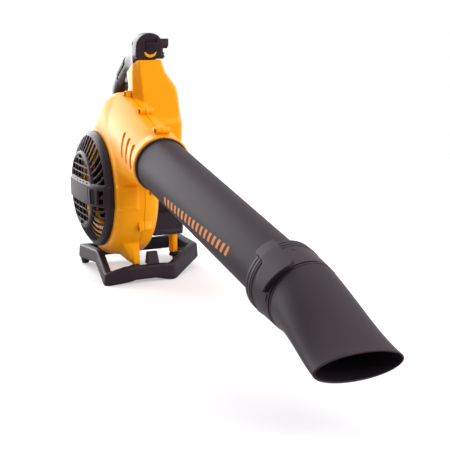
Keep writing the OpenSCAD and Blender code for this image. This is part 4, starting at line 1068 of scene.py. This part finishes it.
class BLOWER_OT_tube(bpy.types.Operator):
    """Turn the blow tube and the ring that holds it in the duct's mouth"""
    bl_idname = "blower.tube"
    bl_label = "Tube"

    def execute(self, context):
        sides = context.scene.blower_tube.sides
        outer = [(tube_r(s), s) for s in (-RING_DEPTH, 60, 150, 250, 350, COLLAR_START)]
        inner = [(r - TUBE_WALL, s) for r, s in outer]
        tip = tube_r(COLLAR_START)
        outer += [(tip, TUBE_END - 1), (tip - 0.8, TUBE_END), (tip - TUBE_WALL, TUBE_END)]
        tube = solid("tube", spin(outer + inner[::-1], sides), TUBE)
        dress(tube, "Blow_tube", "frame", "tube_plastic", "blow_tube")
        ring = solid("ring", spin(LIP, sides), TUBE)
        dress(ring, "Mouth_ring", "frame", "black_plastic", "outlet_ring")
        return {"FINISHED"}


class BLOWER_OT_nozzle(bpy.types.Operator):
    """Build the twist collar with its latch tongue and the flattened nozzle"""
    bl_idname = "blower.nozzle"
    bl_label = "Nozzle"

    def execute(self, context):
        p = context.scene.blower_tube
        collar = cut(self.collar(p.sides), self.tongue(-1.2, 3.0, 1.7))
        for obj, name, node, edge in (
                (collar, "Nozzle_collar", "nozzle_collar", 28),
                (self.tongue(), "Nozzle_latch", "nozzle_latch", 28),
                (self.shell(p), "Nozzle_shell", "nozzle", 40)):
            dress(obj, name, "nozzle", "tube_plastic_plain", node, edge=edge)
        return {"FINISHED"}

    def collar(self, sides):
        """The turning collar, with two grooves behind and a deep one before the nozzle."""
        c0, c1 = COLLAR_START, COLLAR_START + COLLAR_LEN
        bore, r, f = TUBE_TIP_R + 0.5, COLLAR_R, COLLAR_FRONT_R

        def groove(s, radius, depth=1.3, w=0.9):
            return [(radius, s - w), (radius - depth, s - w * 0.7), (radius - depth, s + w * 0.7),
                    (radius, s + w)]
        line = [(bore, c0), (r - 2.0, c0), (r - 0.8, c0 + 0.4), (r - 0.1, c0 + 1.4), (r, c0 + 2.6)]
        line += groove(c0 + 6.5, r) + groove(c0 + 12.8, r)
        line += [(r, c0 + 15.6), (r - 0.3, c0 + 17), (r - 1, c0 + 18)]
        waist = mix(r, f, 0.7)
        line += [(mix(r - 1, waist, u), mix(c0 + 18, c1 - 12, u)) for u in (0.25, 0.5, 0.75)]
        line += [(waist, c1 - 12.4), (mix(r, f, 0.82), c1 - 7.4)]
        line += groove(c1 - 4.6, mix(r, f, 0.88), 2.6, 1.5)
        line += [(f + 0.3, c1 - 1.6), (f - 1.0, c1 - 1.1), (f - 1.0, c1), (bore, c1)]
        collar = solid("collar", spin(line, sides), TUBE)
        # the bayonet's recesses on top of the collar, and the slots beside the tongue
        for turn_by, s, w in ((185, 33, 9), (190, 57, 7)):
            cut(collar, solid("recess", sideways(stadium((0, -w / 2), (0, w / 2), 3.2), -3, 3),
                              TUBE @ turned(turn_by, "Z") @ moved(r + 1.3, 0, c0 + s)
                              @ turned(90, "Z")))
        slot = solid("slot", box((-2.4, 0, -1.6), (3, 16, 1.8)),
                     TUBE @ turned(261, "Z") @ moved(r - 1.2, 0, c0 + 53))
        low = solid("slot", box((-1.6, -1.2, -9), (3, 1.2, 9)),
                    TUBE @ turned(261.5, "Z") @ moved(r, 0, c0 + 42))
        return cut(collar, slot, low)

    def tongue(self, low=-6.0, high=5.2, past=0.0):
        """A plate on the collar's upper right whose front end reaches down, or its recess."""
        flat = [Vector((s, radians(a) * COLLAR_R)) for a, s in LATCH]
        ways = [(b - a).normalized() for a, b in zip(flat[-1:] + flat, flat[1:] + flat[:1])]
        flat = [q + Vector((way.y, -way.x)) * past for q, way in zip(flat, ways)]
        flat = solid("tongue", slab([tuple(q) for q in flat], low, high))
        flat.data.transform(TO_FRAME.inverted())
        flat.data.transform(Matrix.Scale(MM, 4))
        melt(flat, 0.6, 1)
        for v in flat.data.vertices:
            s, arc, rise = (c / MM for c in v.co)
            fall = max(0.0, s - COLLAR_START - LATCH_LEVEL) * LATCH_FALL
            r = COLLAR_R + max(rise, -LATCH_SINK) - fall
            v.co = TO_FRAME @ TUBE @ Vector((*polar(r, math.degrees(arc / COLLAR_R)), s))
        return outwards(flat)

    def shell(self, p, steps=48, around=128):
        """The nozzle: round at the collar, a flat and drooping oval at its mouth."""
        c1 = COLLAR_START + COLLAR_LEN

        def ring(u, inset):
            half_w = mix(COLLAR_FRONT_R, p.mouth_half_w, u ** 1.3) - inset
            half_h = mix(COLLAR_FRONT_R, p.mouth_half_h, u ** 0.85) - inset
            drop, s, tilt = p.mouth_drop * ease(u), mix(c1, MOUTH_S, u), radians(4 * u)
            points = []
            for j in range(around):
                a = 2 * pi * j / around
                points.append((drop + half_h * sin(a) * cos(tilt), half_w * cos(a),
                               s - half_h * sin(a) * sin(tilt)))
            return points
        outer = [ring(i / steps, 0) for i in range(steps)] + [
            ring(0.992, 0.0), ring(0.9975, 0.35), ring(1.0, 0.9)]
        inner = [ring(1.0, 1.9), ring(0.9965, 2.4)] + [ring(i / steps, 2.4)
                                                       for i in range(steps - 1, -1, -1)]
        return solid("nozzle", tied(outer + inner), TUBE)


# ---- handle
# sections of the loop: x, z, half height, half width, tilt, and squareness above and below
HANDLE = [
    (HEAD_FRONT + 30, COLUMN_TOP + HEAD_H / 2, HEAD_H / 2, HEAD_HALF_W, 0, 2.1, 6),
    (HEAD_FRONT - 16, COLUMN_TOP + HEAD_H / 2, HEAD_H / 2 + 1, HEAD_HALF_W, 0, 2.1, 6),
    (COLUMN_REAR + 34, COLUMN_TOP + HEAD_H - 32, 28, HEAD_HALF_W - 4, -4, 2.2, 5),
    (COLUMN_REAR + 14, COLUMN_TOP + HEAD_H - 44, 29, HEAD_HALF_W - 9.5, -12, 2.3, 4),
    (COLUMN_REAR - 4, COLUMN_TOP + HEAD_H - 50, 24, GRIP_HALF - 3, -20, 2.4, 3),
    (GRIP_FRONT[0], GRIP_FRONT[1], GRIP_HALF + 1, GRIP_HALF - 2.5, -SLOPE, 2.4, 2.4)]


def along_grip(d):
    """A point on the grip's middle line, a distance behind its front."""
    x, z = polar(d, SLOPE)
    return GRIP_FRONT[0] - x, GRIP_FRONT[1] - z


HANDLE += [(*along_grip(d), GRIP_HALF, GRIP_HALF - 2.5, -SLOPE, 2.3, 2.3) for d in (24, 44)]
LEG = along_grip(58)
LOOP_FOOT = FAN_Z + math.sqrt(scroll_r(120) ** 2 - (LOOP_REAR + 1) ** 2)
HANDLE_SCREWS = ((COLUMN_REAR + 46, COLUMN_TOP + 27), along_grip(52),
                 (LOOP_REAR + 1, LOOP_FOOT + 12))
HANDLE_HOLE_R = 3.5
HANDLE += [
    (LEG[0] - 4, LEG[1] - 2, GRIP_HALF, GRIP_HALF - 2, -46, 2.4, 2.4),
    (LOOP_REAR + 3, LEG[1] - 18, GRIP_HALF, GRIP_HALF - 1, -68, 2.5, 2.5),
    (LOOP_REAR, LEG[1] - 37, GRIP_HALF - 1, GRIP_HALF - 0.5, -88, 2.6, 2.6),
    (LOOP_REAR + 1, LOOP_FOOT + 4, GRIP_HALF, GRIP_HALF + 0.5, -94, 2.7, 2.7),
    (LOOP_REAR - 2, LOOP_FOOT - 28, GRIP_HALF + 1, GRIP_HALF + 1, -96, 2.8, 2.8)]


def handle_body(inset=0.0, first=0, last=12, steps=5, around=72):
    """The loop, or the part of it between two of its sections."""
    rings = []
    for x, z, half_h, half_w, tilt, top, low in flow(HANDLE[first:last + 1], steps):
        ring = []
        for j in range(around):
            a = 2 * pi * j / around
            p = low if sin(a) < 0 else top
            c, s = power(cos(a), 2 / p), power(sin(a), 2 / p)
            ring.append((x + (half_h - inset) * s * sin(radians(tilt)),
                         HANDLE_Y + (half_w - inset) * c,
                         z + (half_h - inset) * s * cos(radians(tilt))))
        rings.append(ring)
    return loft(rings)


def crescent(radius, z0, z1):
    """A plate in the form of a moon's crescent."""
    outer = [polar(radius, mix(-82, 82, i / 32)) for i in range(33)]
    inner = [(x - 5, y) for x, y in (polar(radius, mix(55, -55, i / 32)) for i in range(33))]
    return slab(outer + [p for p in inner if p[0] > 1.0], z0, z1)


def trigger_pin(ahead=16, under=3):
    """The trigger's pin lies ahead of the grip and under its middle line."""
    x, z = along_grip(-ahead)
    return x + under * sin(radians(SLOPE)), z - under * cos(radians(SLOPE))


PIN = trigger_pin()


class BLOWER_PG_handle(bpy.types.PropertyGroup):
    """Handle loop with its grip, switches and head"""
    grain: number("Face size", "Size of the handle's faces in mm", 1.3, 0.9, 3)
    soften: count_of("Rounding", "Rounds of easing of the handle's edges", 5, 0, 20)
    parting: number("Parting line", "Half the gap between the halves in mm", 0.12, 0.05, 0.5)
    shell: number("Wall", "Thickness of the handle's walls in mm", 3.0, 2, 4)


class BLOWER_OT_handle(bpy.types.Operator):
    """Mould the two halves of the handle loop and the soft pad on the grip"""
    bl_idname = "blower.handle"
    bl_label = "Handle"

    def execute(self, context):
        self.halves(context.scene.blower_handle)
        self.pad()
        return {"FINISHED"}

    def halves(self, p):
        """The loop, hollow and open for the switches, parted along its middle."""
        whole = solid("loop", handle_body())
        cut(whole, solid("front", box((0, -60, -70), (160, 60, 200)), HEAD))
        under = cut(solid("under", box((COLUMN_REAR - 0.2, -50, 200), (300, 150, COLUMN_TOP + 1))),
                    solid("seat", seat(0.05)))
        cut(whole, under)
        melt(whole, p.grain, p.soften)
        cut(whole, solid("inside", handle_body(p.shell, 1, 11, 4, 40)))
        gap = TRIGGER_HALF_W + TRIGGER_PLAY
        cut(whole, solid("slot", round_box((-35, -gap, -GRIP_HALF - 12), (25, gap, -2), 3), GRIP))
        cut(whole, solid("scroll", scroll(1, -0.3, 40, 10, 120)))
        pocket = round_box((-SLIDER_H - SLIDER_TRAVEL - 0.3, -SLIDER_W / 2 - 0.3, -3),
                           (0.3, SLIDER_W / 2 + 0.3, 12), 1.6)
        cut(whole, solid("pocket", pocket, HEAD @ moved(0, 0, SLIDER_Z) @ turned(90, "Y")))
        cut(whole, solid("recess", crescent(11.8, -1.2, 12),
                         HEAD @ moved(0, 0, SLIDER_Z + 0.2) @ turned(90, "Y")))
        for x, z in HANDLE_SCREWS:
            cut(whole, solid("hole", rod(HANDLE_HOLE_R, -40, -9.7, 32),
                             moved(x, HANDLE_Y, z) @ turned(-90, "X")))
        other = placed("other", whole.data.copy())
        keep(whole, solid("keep left", box((-300, HANDLE_Y + p.parting, 100), (300, 150, 500))))
        keep(other, solid("keep right", box((-300, -100, 100), (300, HANDLE_Y - p.parting, 500))))
        dress(whole, "Handle_left", "frame", "handle_plastic", "handle_left")
        dress(other, "Handle_right", "frame", "handle_plastic", "handle_right")

    def pad(self):
        """The soft pad that lies over the top of the grip."""
        pad = solid("pad", handle_body(-1.6, 4, 8, 8, 96))
        keep(pad, solid("reach", round_box((-50, -40, -4), (-2, 40, 60), 12), GRIP))
        melt(pad, 0.8, 4)
        cut(pad, solid("grip", handle_body(-0.12, 3, 9, 8, 96)))
        cut(pad, solid("low", box((-80, -40, -30), (40, 40, 2)), GRIP))
        dress(pad, "Grip_pad", "frame", "soft_rubber", "grip_pad")


class BLOWER_OT_switches(bpy.types.Operator):
    """Build the trigger, the speed lever, the ridged lock slider and the crescent mark"""
    bl_idname = "blower.switches"
    bl_label = "Switches"

    def execute(self, context):
        self.trigger()
        self.lever()
        self.slider()
        self.mark()
        return {"FINISHED"}

    def on_pin(self):
        """The trigger's pin, with X along the grip."""
        return moved(PIN[0], HANDLE_Y, PIN[1]) @ turned(90, "X") @ turned(SLOPE, "Z")

    def on_head(self, up=0.0):
        """The foot of the slider's pocket on the head's front: X is down and Z outwards."""
        return HEAD @ moved(0, 0, SLIDER_Z + up) @ turned(90, "Y")

    def trigger(self):
        """A curved blade that turns on its pin."""
        low = -GRIP_HALF - 6
        blade = flow([(3, 4), (-10, 1.3), (-26, -1.2), (-42, low + 18), (-46, low + 10),
                      (-45, low + 3), (-36, low), (-22, low + 3), (-8, low + 9), (4, -3)], 6)
        hub = outline_round(circle(0, 0, 5, 40))
        trigger = union(*(solid("trigger", slab(outline, -TRIGGER_HALF_W, TRIGGER_HALF_W),
                                self.on_pin()) for outline in (blade, hub)))
        melt(trigger, 0.7, 5)
        cut(trigger, solid("pin", rod(2.1, -20, 20, 32), self.on_pin()))
        dress(trigger, "Trigger", "trigger", "handle_plastic", "trigger")

    def lever(self):
        """The speed lever on the head's left, with a ridged paddle."""
        y0 = HANDLE_Y + HEAD_HALF_W + 0.6
        x, z = LEVER_X, COLUMN_TOP + LEVER_UP
        axle = moved(x, y0, z) @ turned(-90, "X")
        lever = solid("hub", rod(6.5, 0, 11, 48), axle)
        union(lever, solid("neck", box((x - 4, y0 + 2, z + 3), (x + 4, y0 + 10, z + 13))))
        block = [[(x + sx * w, y0 + 11 + sy * d, z + h) for sx, sy in
                  ((-1, -1), (1, -1), (1, 1), (-1, 1))]
                 for h, w, d in ((11.6, 4.4, 6.6), (17, 5.4, 8.6), (28.4, 5.4, 8.9))]
        union(lever, solid("paddle", loft(block)))
        melt(lever, 0.55, 4)
        unit = local("ridge", round_box((-5.8, -7, 0), (5.8, 7, 1.1), 1))
        ridges = row("ridges", "handle_plastic", unit, 3, moved(x, y0 + 11, z + 18.6),
                     step=(0, 0, 3.2))
        union(lever, ridges)
        cut(lever, solid("bore", rod(LEVER_AXLE_R, -1, 12, 40), axle))
        dress(lever, "Speed_lever", "speed_lever", "handle_plastic", "speed_lever")

    def slider(self):
        """The lock slider in its pocket, with four ridges for the thumb."""
        slider = solid("slider", round_box((-SLIDER_H - 0.3, -SLIDER_W / 2, -2.7),
                                           (-0.3, SLIDER_W / 2, 1.2), 1.4), self.on_head())
        round_edges(slider, 0.5)
        unit = local("ridge", round_box((-0.9, -SLIDER_W / 2 + 1.6, 0.2),
                                        (0.9, SLIDER_W / 2 - 1.6, 2.5), 0.8))
        ridges = row("ridges", "handle_plastic", unit, 4, self.on_head() @ moved(-2.6, 0, 0),
                     step=(-3.3, 0, 0))
        union(slider, ridges)
        dress(slider, "Lock_slider", "lock_slider", "handle_plastic", "lock_slider")

    def mark(self):
        """The crescent under the slider."""
        mark = solid("mark", crescent(11.3, -1.0, 0.35), self.on_head(0.2))
        round_edges(mark, 0.25, 2)
        dress(mark, "Head_mark", "frame", "button_plastic", "head_inlay")


# ---- motor side, battery and stand
def skin(obj):
    """Keeps the outermost of a mesh's separate skins, and drops those of its hollows."""
    b = bmesh.new()
    b.from_mesh(obj.data)
    b.verts.ensure_lookup_table()
    left, groups = set(b.verts), []
    while left:
        start = left.pop()
        group, stack = {start}, [start]
        while stack:
            for e in stack.pop().link_edges:
                for v in e.verts:
                    if v in left:
                        left.discard(v)
                        group.add(v)
                        stack.append(v)
        groups.append(group)

    def reach(group):
        low = Vector(min(v.co[k] for v in group) for k in range(3))
        high = Vector(max(v.co[k] for v in group) for k in range(3))
        return low, high
    spans = [reach(g) for g in groups]
    for i, (low, high) in enumerate(spans):
        if any(j != i and all(l2[k] < low[k] and high[k] < h2[k] for k in range(3))
               for j, (l2, h2) in enumerate(spans)):
            bmesh.ops.delete(b, geom=list(groups[i]), context="VERTS")
    b.to_mesh(obj.data)
    b.free()
    return obj


def eased(node, voxel, rounds):
    """A CAD node's shape with the small radii that a mould leaves on its edges."""
    return melt(skin(copy_of(node)), voxel, rounds)


class BLOWER_PG_battery(bpy.types.PropertyGroup):
    """Battery pack"""
    ribs: count_of("Ribs", "Number of grip ribs on each side of the pack", 7, 3, 12)
    pitch: number("Rib pitch", "Distance between the ribs in mm", 9.0, 5, 12)


class BLOWER_OT_battery(bpy.types.Operator):
    """Build the battery pack with its grip ribs, lid line, gauge and latch button"""
    bl_idname = "blower.battery"
    bl_label = "Battery"

    def execute(self, context):
        p = context.scene.blower_battery
        self.case(p.ribs, p.pitch)
        self.button()
        shoe = round_edges(copy_of("battery_shoe"), 0.5, 2, 40)
        dress(shoe, "Battery_shoe", "battery", "battery_plastic", "battery_shoe")
        return {"FINISHED"}

    def in_mm(self, corners):
        return [(v - ORIGIN) / MM for v in corners]

    def case(self, ribs, pitch):
        """The pack's case with its lid line, the scoops beside its grip ribs and its gauge."""
        low, high = self.in_mm(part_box("battery_case"))
        case = eased("battery_case", 1.5, 5)
        z = mix(low.z, high.z, 0.62)
        line = cut(solid("line", box((low.x - 5, low.y - 5, z - 0.5), (high.x + 5, high.y + 5,
                                                                      z + 0.5))),
                   solid("core", round_box((low.x + 0.9, low.y + 0.9, z - 5),
                                           (high.x - 0.9, high.y - 0.9, z + 5), 7.2)))
        cut(case, line)
        for side in (-1, 1):
            y = low.y if side < 0 else high.y
            unit = local("rib", round_box((-2.2, -1.4, -15), (2.2, 1.4, 15), 1.3))
            scoops = row("scoops", "battery_plastic", unit, ribs,
                         moved(low.x + 34, y, low.z + 28), step=(pitch, 0, 0))
            cut(case, scoops)
        for k in range(4):
            gauge = moved(low.x, mix(low.y, high.y, 0.5) - 9 + 6 * k, low.z + 20)
            cut(case, solid("gauge", rod(1.7, -0.8, 2, 24), gauge @ turned(-90, "Y")))
        dress(case, "Battery_case", "battery", "battery_plastic", "battery_case")

    def button(self):
        """The latch button, with four ridges."""
        low, high = self.in_mm(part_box("battery_button"))
        mid = (low + high) / 2
        button = solid("button", round_box((-7, -12, 0), (7, 12, high.x - low.x - 0.4), 2.4),
                       moved(high.x, mid.y, mid.z) @ turned(-90, "Y"))
        round_edges(button, 0.9, 4)
        unit = local("ridge", round_box((-0.7, -8.5, 0), (0.7, 8.5, 0.8), 0.6))
        ridges = row("ridges", "button_plastic", unit, 4,
                     moved(low.x + 0.8, mid.y, mid.z - 3.9) @ turned(-90, "Y"), step=(2.6, 0, 0))
        union(button, ridges)
        dress(button, "Battery_button", "battery_button", "button_plastic", "battery_button")


class BLOWER_OT_dock(bpy.types.Operator):
    """Ease the edges of the dock, its leg and the motor's vented cap"""
    bl_idname = "blower.dock"
    bl_label = "Dock and motor cap"

    def execute(self, context):
        for node, voxel, rounds, slot in (("battery_dock", 1.3, 4, "black_plastic"),
                                          ("dock_leg", 1.0, 4, "yellow_plastic"),
                                          ("motor_cap", 0.8, 3, "black_plastic")):
            dress(eased(node, voxel, rounds), node.capitalize(), "frame", slot, node)
        return {"FINISHED"}


class BLOWER_PG_stand(bpy.types.PropertyGroup):
    """Stand under the fan"""
    grain: number("Face size", "Size of the stand's faces in mm", 1.7, 1, 4)
    soften: count_of("Rounding", "Rounds of easing of the stand's edges", 8, 0, 30)


class BLOWER_OT_stand(bpy.types.Operator):
    """Mould the stand's bent bars and the upright clip on its front bar"""
    bl_idname = "blower.stand"
    bl_label = "Stand"

    def execute(self, context):
        p = context.scene.blower_stand
        for node, voxel, rounds in (("stand", p.grain, p.soften), ("stand_clip", 0.9, 5)):
            dress(eased(node, voxel, rounds), node.capitalize(), "frame", "black_plastic", node)
        return {"FINISHED"}


class BLOWER_PG_screws(bpy.types.PropertyGroup):
    """Screws that close the housing"""
    head_r: number("Head radius", "Radius of a screw's head in mm", 3.9, 3, 4.2)
    drive: count_of("Drive points", "Points of the star drive", 6, 4, 8)


class BLOWER_OT_screws(bpy.types.Operator):
    """Put a star-drive screw at the bottom of every boss and round the motor cap"""
    bl_idname = "blower.screws"
    bl_label = "Screws"

    def execute(self, context):
        p = context.scene.blower_screws
        in_bosses = [(x, -BOSS_LEN + 1.6, z) for x, z in BOSSES]
        in_cap = [(x, TOWER_LEFT + CAP_THICK + 1.8, FAN_Z - z)
                  for x, z in (polar(CAP_SCREWS_R, a) for a in (45, 135, 225, 315))]
        for name, screw, places, turn in (
                ("Housing_screws", (p.head_r, 2.0, 13.4), in_bosses, -pi / 2),
                ("Cap_screws", (3.2, 1.5, 12.6), in_cap, pi / 2)):
            screws = scatter(name, "screw_steel", self.screw(*screw, p.drive), places, Matrix(),
                             turn=(turn, 0, 0))
            dress(screws, name, "frame", "screw_steel", name.lower())
        return {"FINISHED"}

    def screw(self, head_r, shank_r, length, points):
        """A pan head with a star drive, its face at 0 and its shank along +Z."""
        star = [polar(head_r * (0.52 if i % 2 else 0.34), 180 * i / points)
                for i in range(2 * points)]
        head = spin([(0.0, 0), (head_r * 0.72, 0), (head_r * 0.93, 0.35), (head_r, 0.9),
                     (head_r, 1.8), (shank_r, 1.85), (shank_r, length - 0.8),
                     (shank_r - 0.6, length), (0.0, length)], 28)
        return cut(local("screw", head), local("drive", slab(star, -1, 1.1)))


# the finishes of the CAD nodes that are shown as they are
CARRIED = {
    "yellow_plastic": ("inlet_bell",),
    "fan_plastic": ("fan_wheel",),
    "steel": ("motor_shaft", "motor_rotor", "front_bearing", "rear_bearing", "trigger_pin",
              "lever_pivot", "dock_rails", "fan_nut"),
    "lamination": ("motor_stator",),
    "copper": ("stator_windings",),
    "cast_aluminium": ("motor_mount", "heat_sink"),
    "inner_plastic": ("board_carrier", "trigger_switch"),
    "board": ("control_board",),
    "contact_brass": ("dock_terminals",),
    "cell_steel": ("battery_cells",),
    "soft_rubber": ("tube_seal",),
    "screw_steel": ("grille_screws", "stand_screws", "handle_screws"),
}


class BLOWER_OT_inner_parts(bpy.types.Operator):
    """Give the motor, board, cells, rails and fasteners their finishes"""
    bl_idname = "blower.inner_parts"
    bl_label = "Inner parts"

    def execute(self, context):
        for finish, nodes in CARRIED.items():
            for node in nodes:
                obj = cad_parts[node]
                if not obj.material_slots:
                    raise RuntimeError("no material slot on " + node)
                for place in obj.material_slots:
                    place.material = FINISHES[finish]
        return {"FINISHED"}


# ---- stage
# each lamp's size, and its place from the point it is aimed at, in metres
LAMPS = {"Top": ((2.6, 2.2), (-0.2, 0.2, 2.1)),
         "Rear": ((2.0, 1.85), (-1.72, -0.69, 0.82)),
         "Key": ((1.6, 1.6), (1.4, 1.45, 1.0))}
LIT = (180, 0, 150)
CAMERA_AT, CAMERA_LOOK = (1597.6, -511.0, 434.1), (-0.89286, 0.40053, -0.20587)
FLOOR_HALF, FADE_START, FADE_END = 9.0, 1.1, 2.4


class BLOWER_PG_stage(bpy.types.PropertyGroup):
    """Floor, lamps and camera"""
    top: number("Top lamp", "Power of the soft lamp overhead", 22.0, 0, 400, unit="POWER")
    rear: number("Rear lamp", "Power of the wide lamp behind", 66.0, 0, 400, unit="POWER")
    key: number("Front lamp", "Power of the lamp at the front left", 42.0, 0, 400, unit="POWER")
    fill: number("Room", "Strength of the room's even light", 0.31, 0, 2)
    lens: number("Lens", "Focal length", 73.6, 20, 200, unit="CAMERA")


class BLOWER_OT_stage(bpy.types.Operator):
    """Set up the pale floor, the soft lamps and the camera"""
    bl_idname = "blower.stage"
    bl_label = "Stage"

    def execute(self, context):
        p = context.scene.blower_stage
        self.floor()
        self.room(p.fill)
        for name, (size, away) in LAMPS.items():
            self.lamp(name, getattr(p, name.lower()), size, Vector(away))
        self.camera(p.lens)
        return {"FINISHED"}

    def lamp(self, name, watts, size, away):
        data = bpy.data.lights.new(name, "AREA")
        data.shape, data.size, data.size_y, data.energy = "RECTANGLE", *size, watts
        lamp = placed(name, data)
        turn = (-away).to_track_quat("-Z", "Y").to_matrix().to_4x4()
        lamp.matrix_world = Matrix.Translation(TO_FRAME @ Vector(LIT) + away) @ turn
        lamp.visible_camera = False

    def floor(self):
        """Pale paper that keeps the shadow and fades out before the horizon."""
        a = FLOOR_HALF
        floor = raw("Floor", [(-a, -a, 0), (a, -a, 0), (a, a, 0), (-a, a, 0)], [(0, 1, 2, 3)])
        paint = Finish("floor_paper", Roughness=0.8, Specular_IOR_Level=0.2,
                       Emission_Strength=1.0)
        at = paint.place()
        tone = paint.noise(at, 2.0, 3.0)
        paint.feed("Base Color", paint.colour(tone, (0.67, 0.655, 0.67), (0.70, 0.69, 0.70)))
        far = paint.vector("LENGTH", at, out=1)
        paint.feed("Alpha", 1.0 - far.step(FADE_START, FADE_END))
        seen = paint.node("ShaderNodeLightPath")
        paint.feed("Emission Color", paint.colour(seen, (0, 0, 0), (0.33, 0.33, 0.33)))
        floor.data.materials.append(paint.material)

    def room(self, strength):
        """Even light, and plain white where the camera and reflections look past it."""
        world = bpy.data.worlds.new("Room")
        bpy.context.scene.world = world
        world.use_nodes = True
        t = Tree(world.node_tree)
        world.node_tree.nodes.clear()
        path = t.node("ShaderNodeLightPath")
        glossy, through = (t.other(path, ray) for ray in ("Is Glossy Ray", "Is Transmission Ray"))
        seen = (path + glossy + through).clear()
        level = seen * (1.0 - strength) + strength
        colour = t.colour(seen, (1.0, 0.965, 1.0), (1.0, 1.0, 1.0))
        sky = t.node("ShaderNodeBackground", {"Color": colour, "Strength": level})
        t.node("ShaderNodeOutputWorld", {"Surface": sky}, out=None)

    def camera(self, lens):
        data = bpy.data.cameras.new("Camera")
        data.lens, data.sensor_width, data.clip_end = lens, 36.0, 50.0
        camera = placed("Camera", data)
        look = Vector(CAMERA_LOOK).normalized()
        right = look.cross(Vector((0, 0, 1))).normalized()
        up = right.cross(look)
        turn = Matrix((right, up, -look)).transposed().to_4x4()
        camera.matrix_world = Matrix.Translation(TO_FRAME @ Vector(CAMERA_AT)) @ turn
        bpy.context.scene.camera = camera


STEPS = ("finishes", "right_housing", "left_housing", "intake", "tube", "nozzle", "handle",
         "switches", "battery", "dock", "stand", "screws", "inner_parts", "stage")


class BLOWER_PT_panel(bpy.types.Panel):
    """Lists the blower's sizes and the steps that build it"""
    bl_idname = "BLOWER_PT_panel"
    bl_label = "Leaf blower"
    bl_space_type = "VIEW_3D"
    bl_region_type = "UI"
    bl_category = "Blower"

    def draw(self, context):
        for name in GROUPS:
            group = getattr(context.scene, name)
            section = self.layout.box()
            section.label(text=group.bl_rna.description or name)
            for key in group.bl_rna.properties.keys():
                if key not in ("rna_type", "name"):
                    section.prop(group, key)
        for step in STEPS:
            self.layout.operator("blower." + step)


GROUPS = {
    "blower_finish": BLOWER_PG_finish, "blower_housing": BLOWER_PG_housing,
    "blower_intake": BLOWER_PG_intake, "blower_tube": BLOWER_PG_tube,
    "blower_handle": BLOWER_PG_handle, "blower_battery": BLOWER_PG_battery,
    "blower_stand": BLOWER_PG_stand, "blower_screws": BLOWER_PG_screws,
    "blower_stage": BLOWER_PG_stage,
}
CLASSES = (*GROUPS.values(), BLOWER_OT_finishes, BLOWER_OT_right_housing, BLOWER_OT_left_housing,
           BLOWER_OT_intake, BLOWER_OT_tube, BLOWER_OT_nozzle, BLOWER_OT_handle,
           BLOWER_OT_switches, BLOWER_OT_battery, BLOWER_OT_dock, BLOWER_OT_stand,
           BLOWER_OT_screws, BLOWER_OT_inner_parts, BLOWER_OT_stage, BLOWER_PT_panel)


def register():
    for cls in CLASSES:
        bpy.utils.register_class(cls)
    for name, group in GROUPS.items():
        setattr(bpy.types.Scene, name, PointerProperty(type=group))


def unregister():
    for name in GROUPS:
        delattr(bpy.types.Scene, name)
    for cls in reversed(CLASSES):
        bpy.utils.unregister_class(cls)


def main():
    register()
    bpy.context.scene.view_settings.view_transform = "Standard"
    TREES["row"] = repeat_tree(
        "row_of_parts", {"Count": "Int", "Step": "Vector", "First turn": "Vector"}, row_points)
    TREES["scatter"] = repeat_tree("parts_at_points", {"Points": "Geometry"},
                                   lambda t, given: (given["Points"], given["Turn"]))
    for step in STEPS:
        getattr(bpy.ops.blower, step)()


if __name__ == "__main__":
    main()
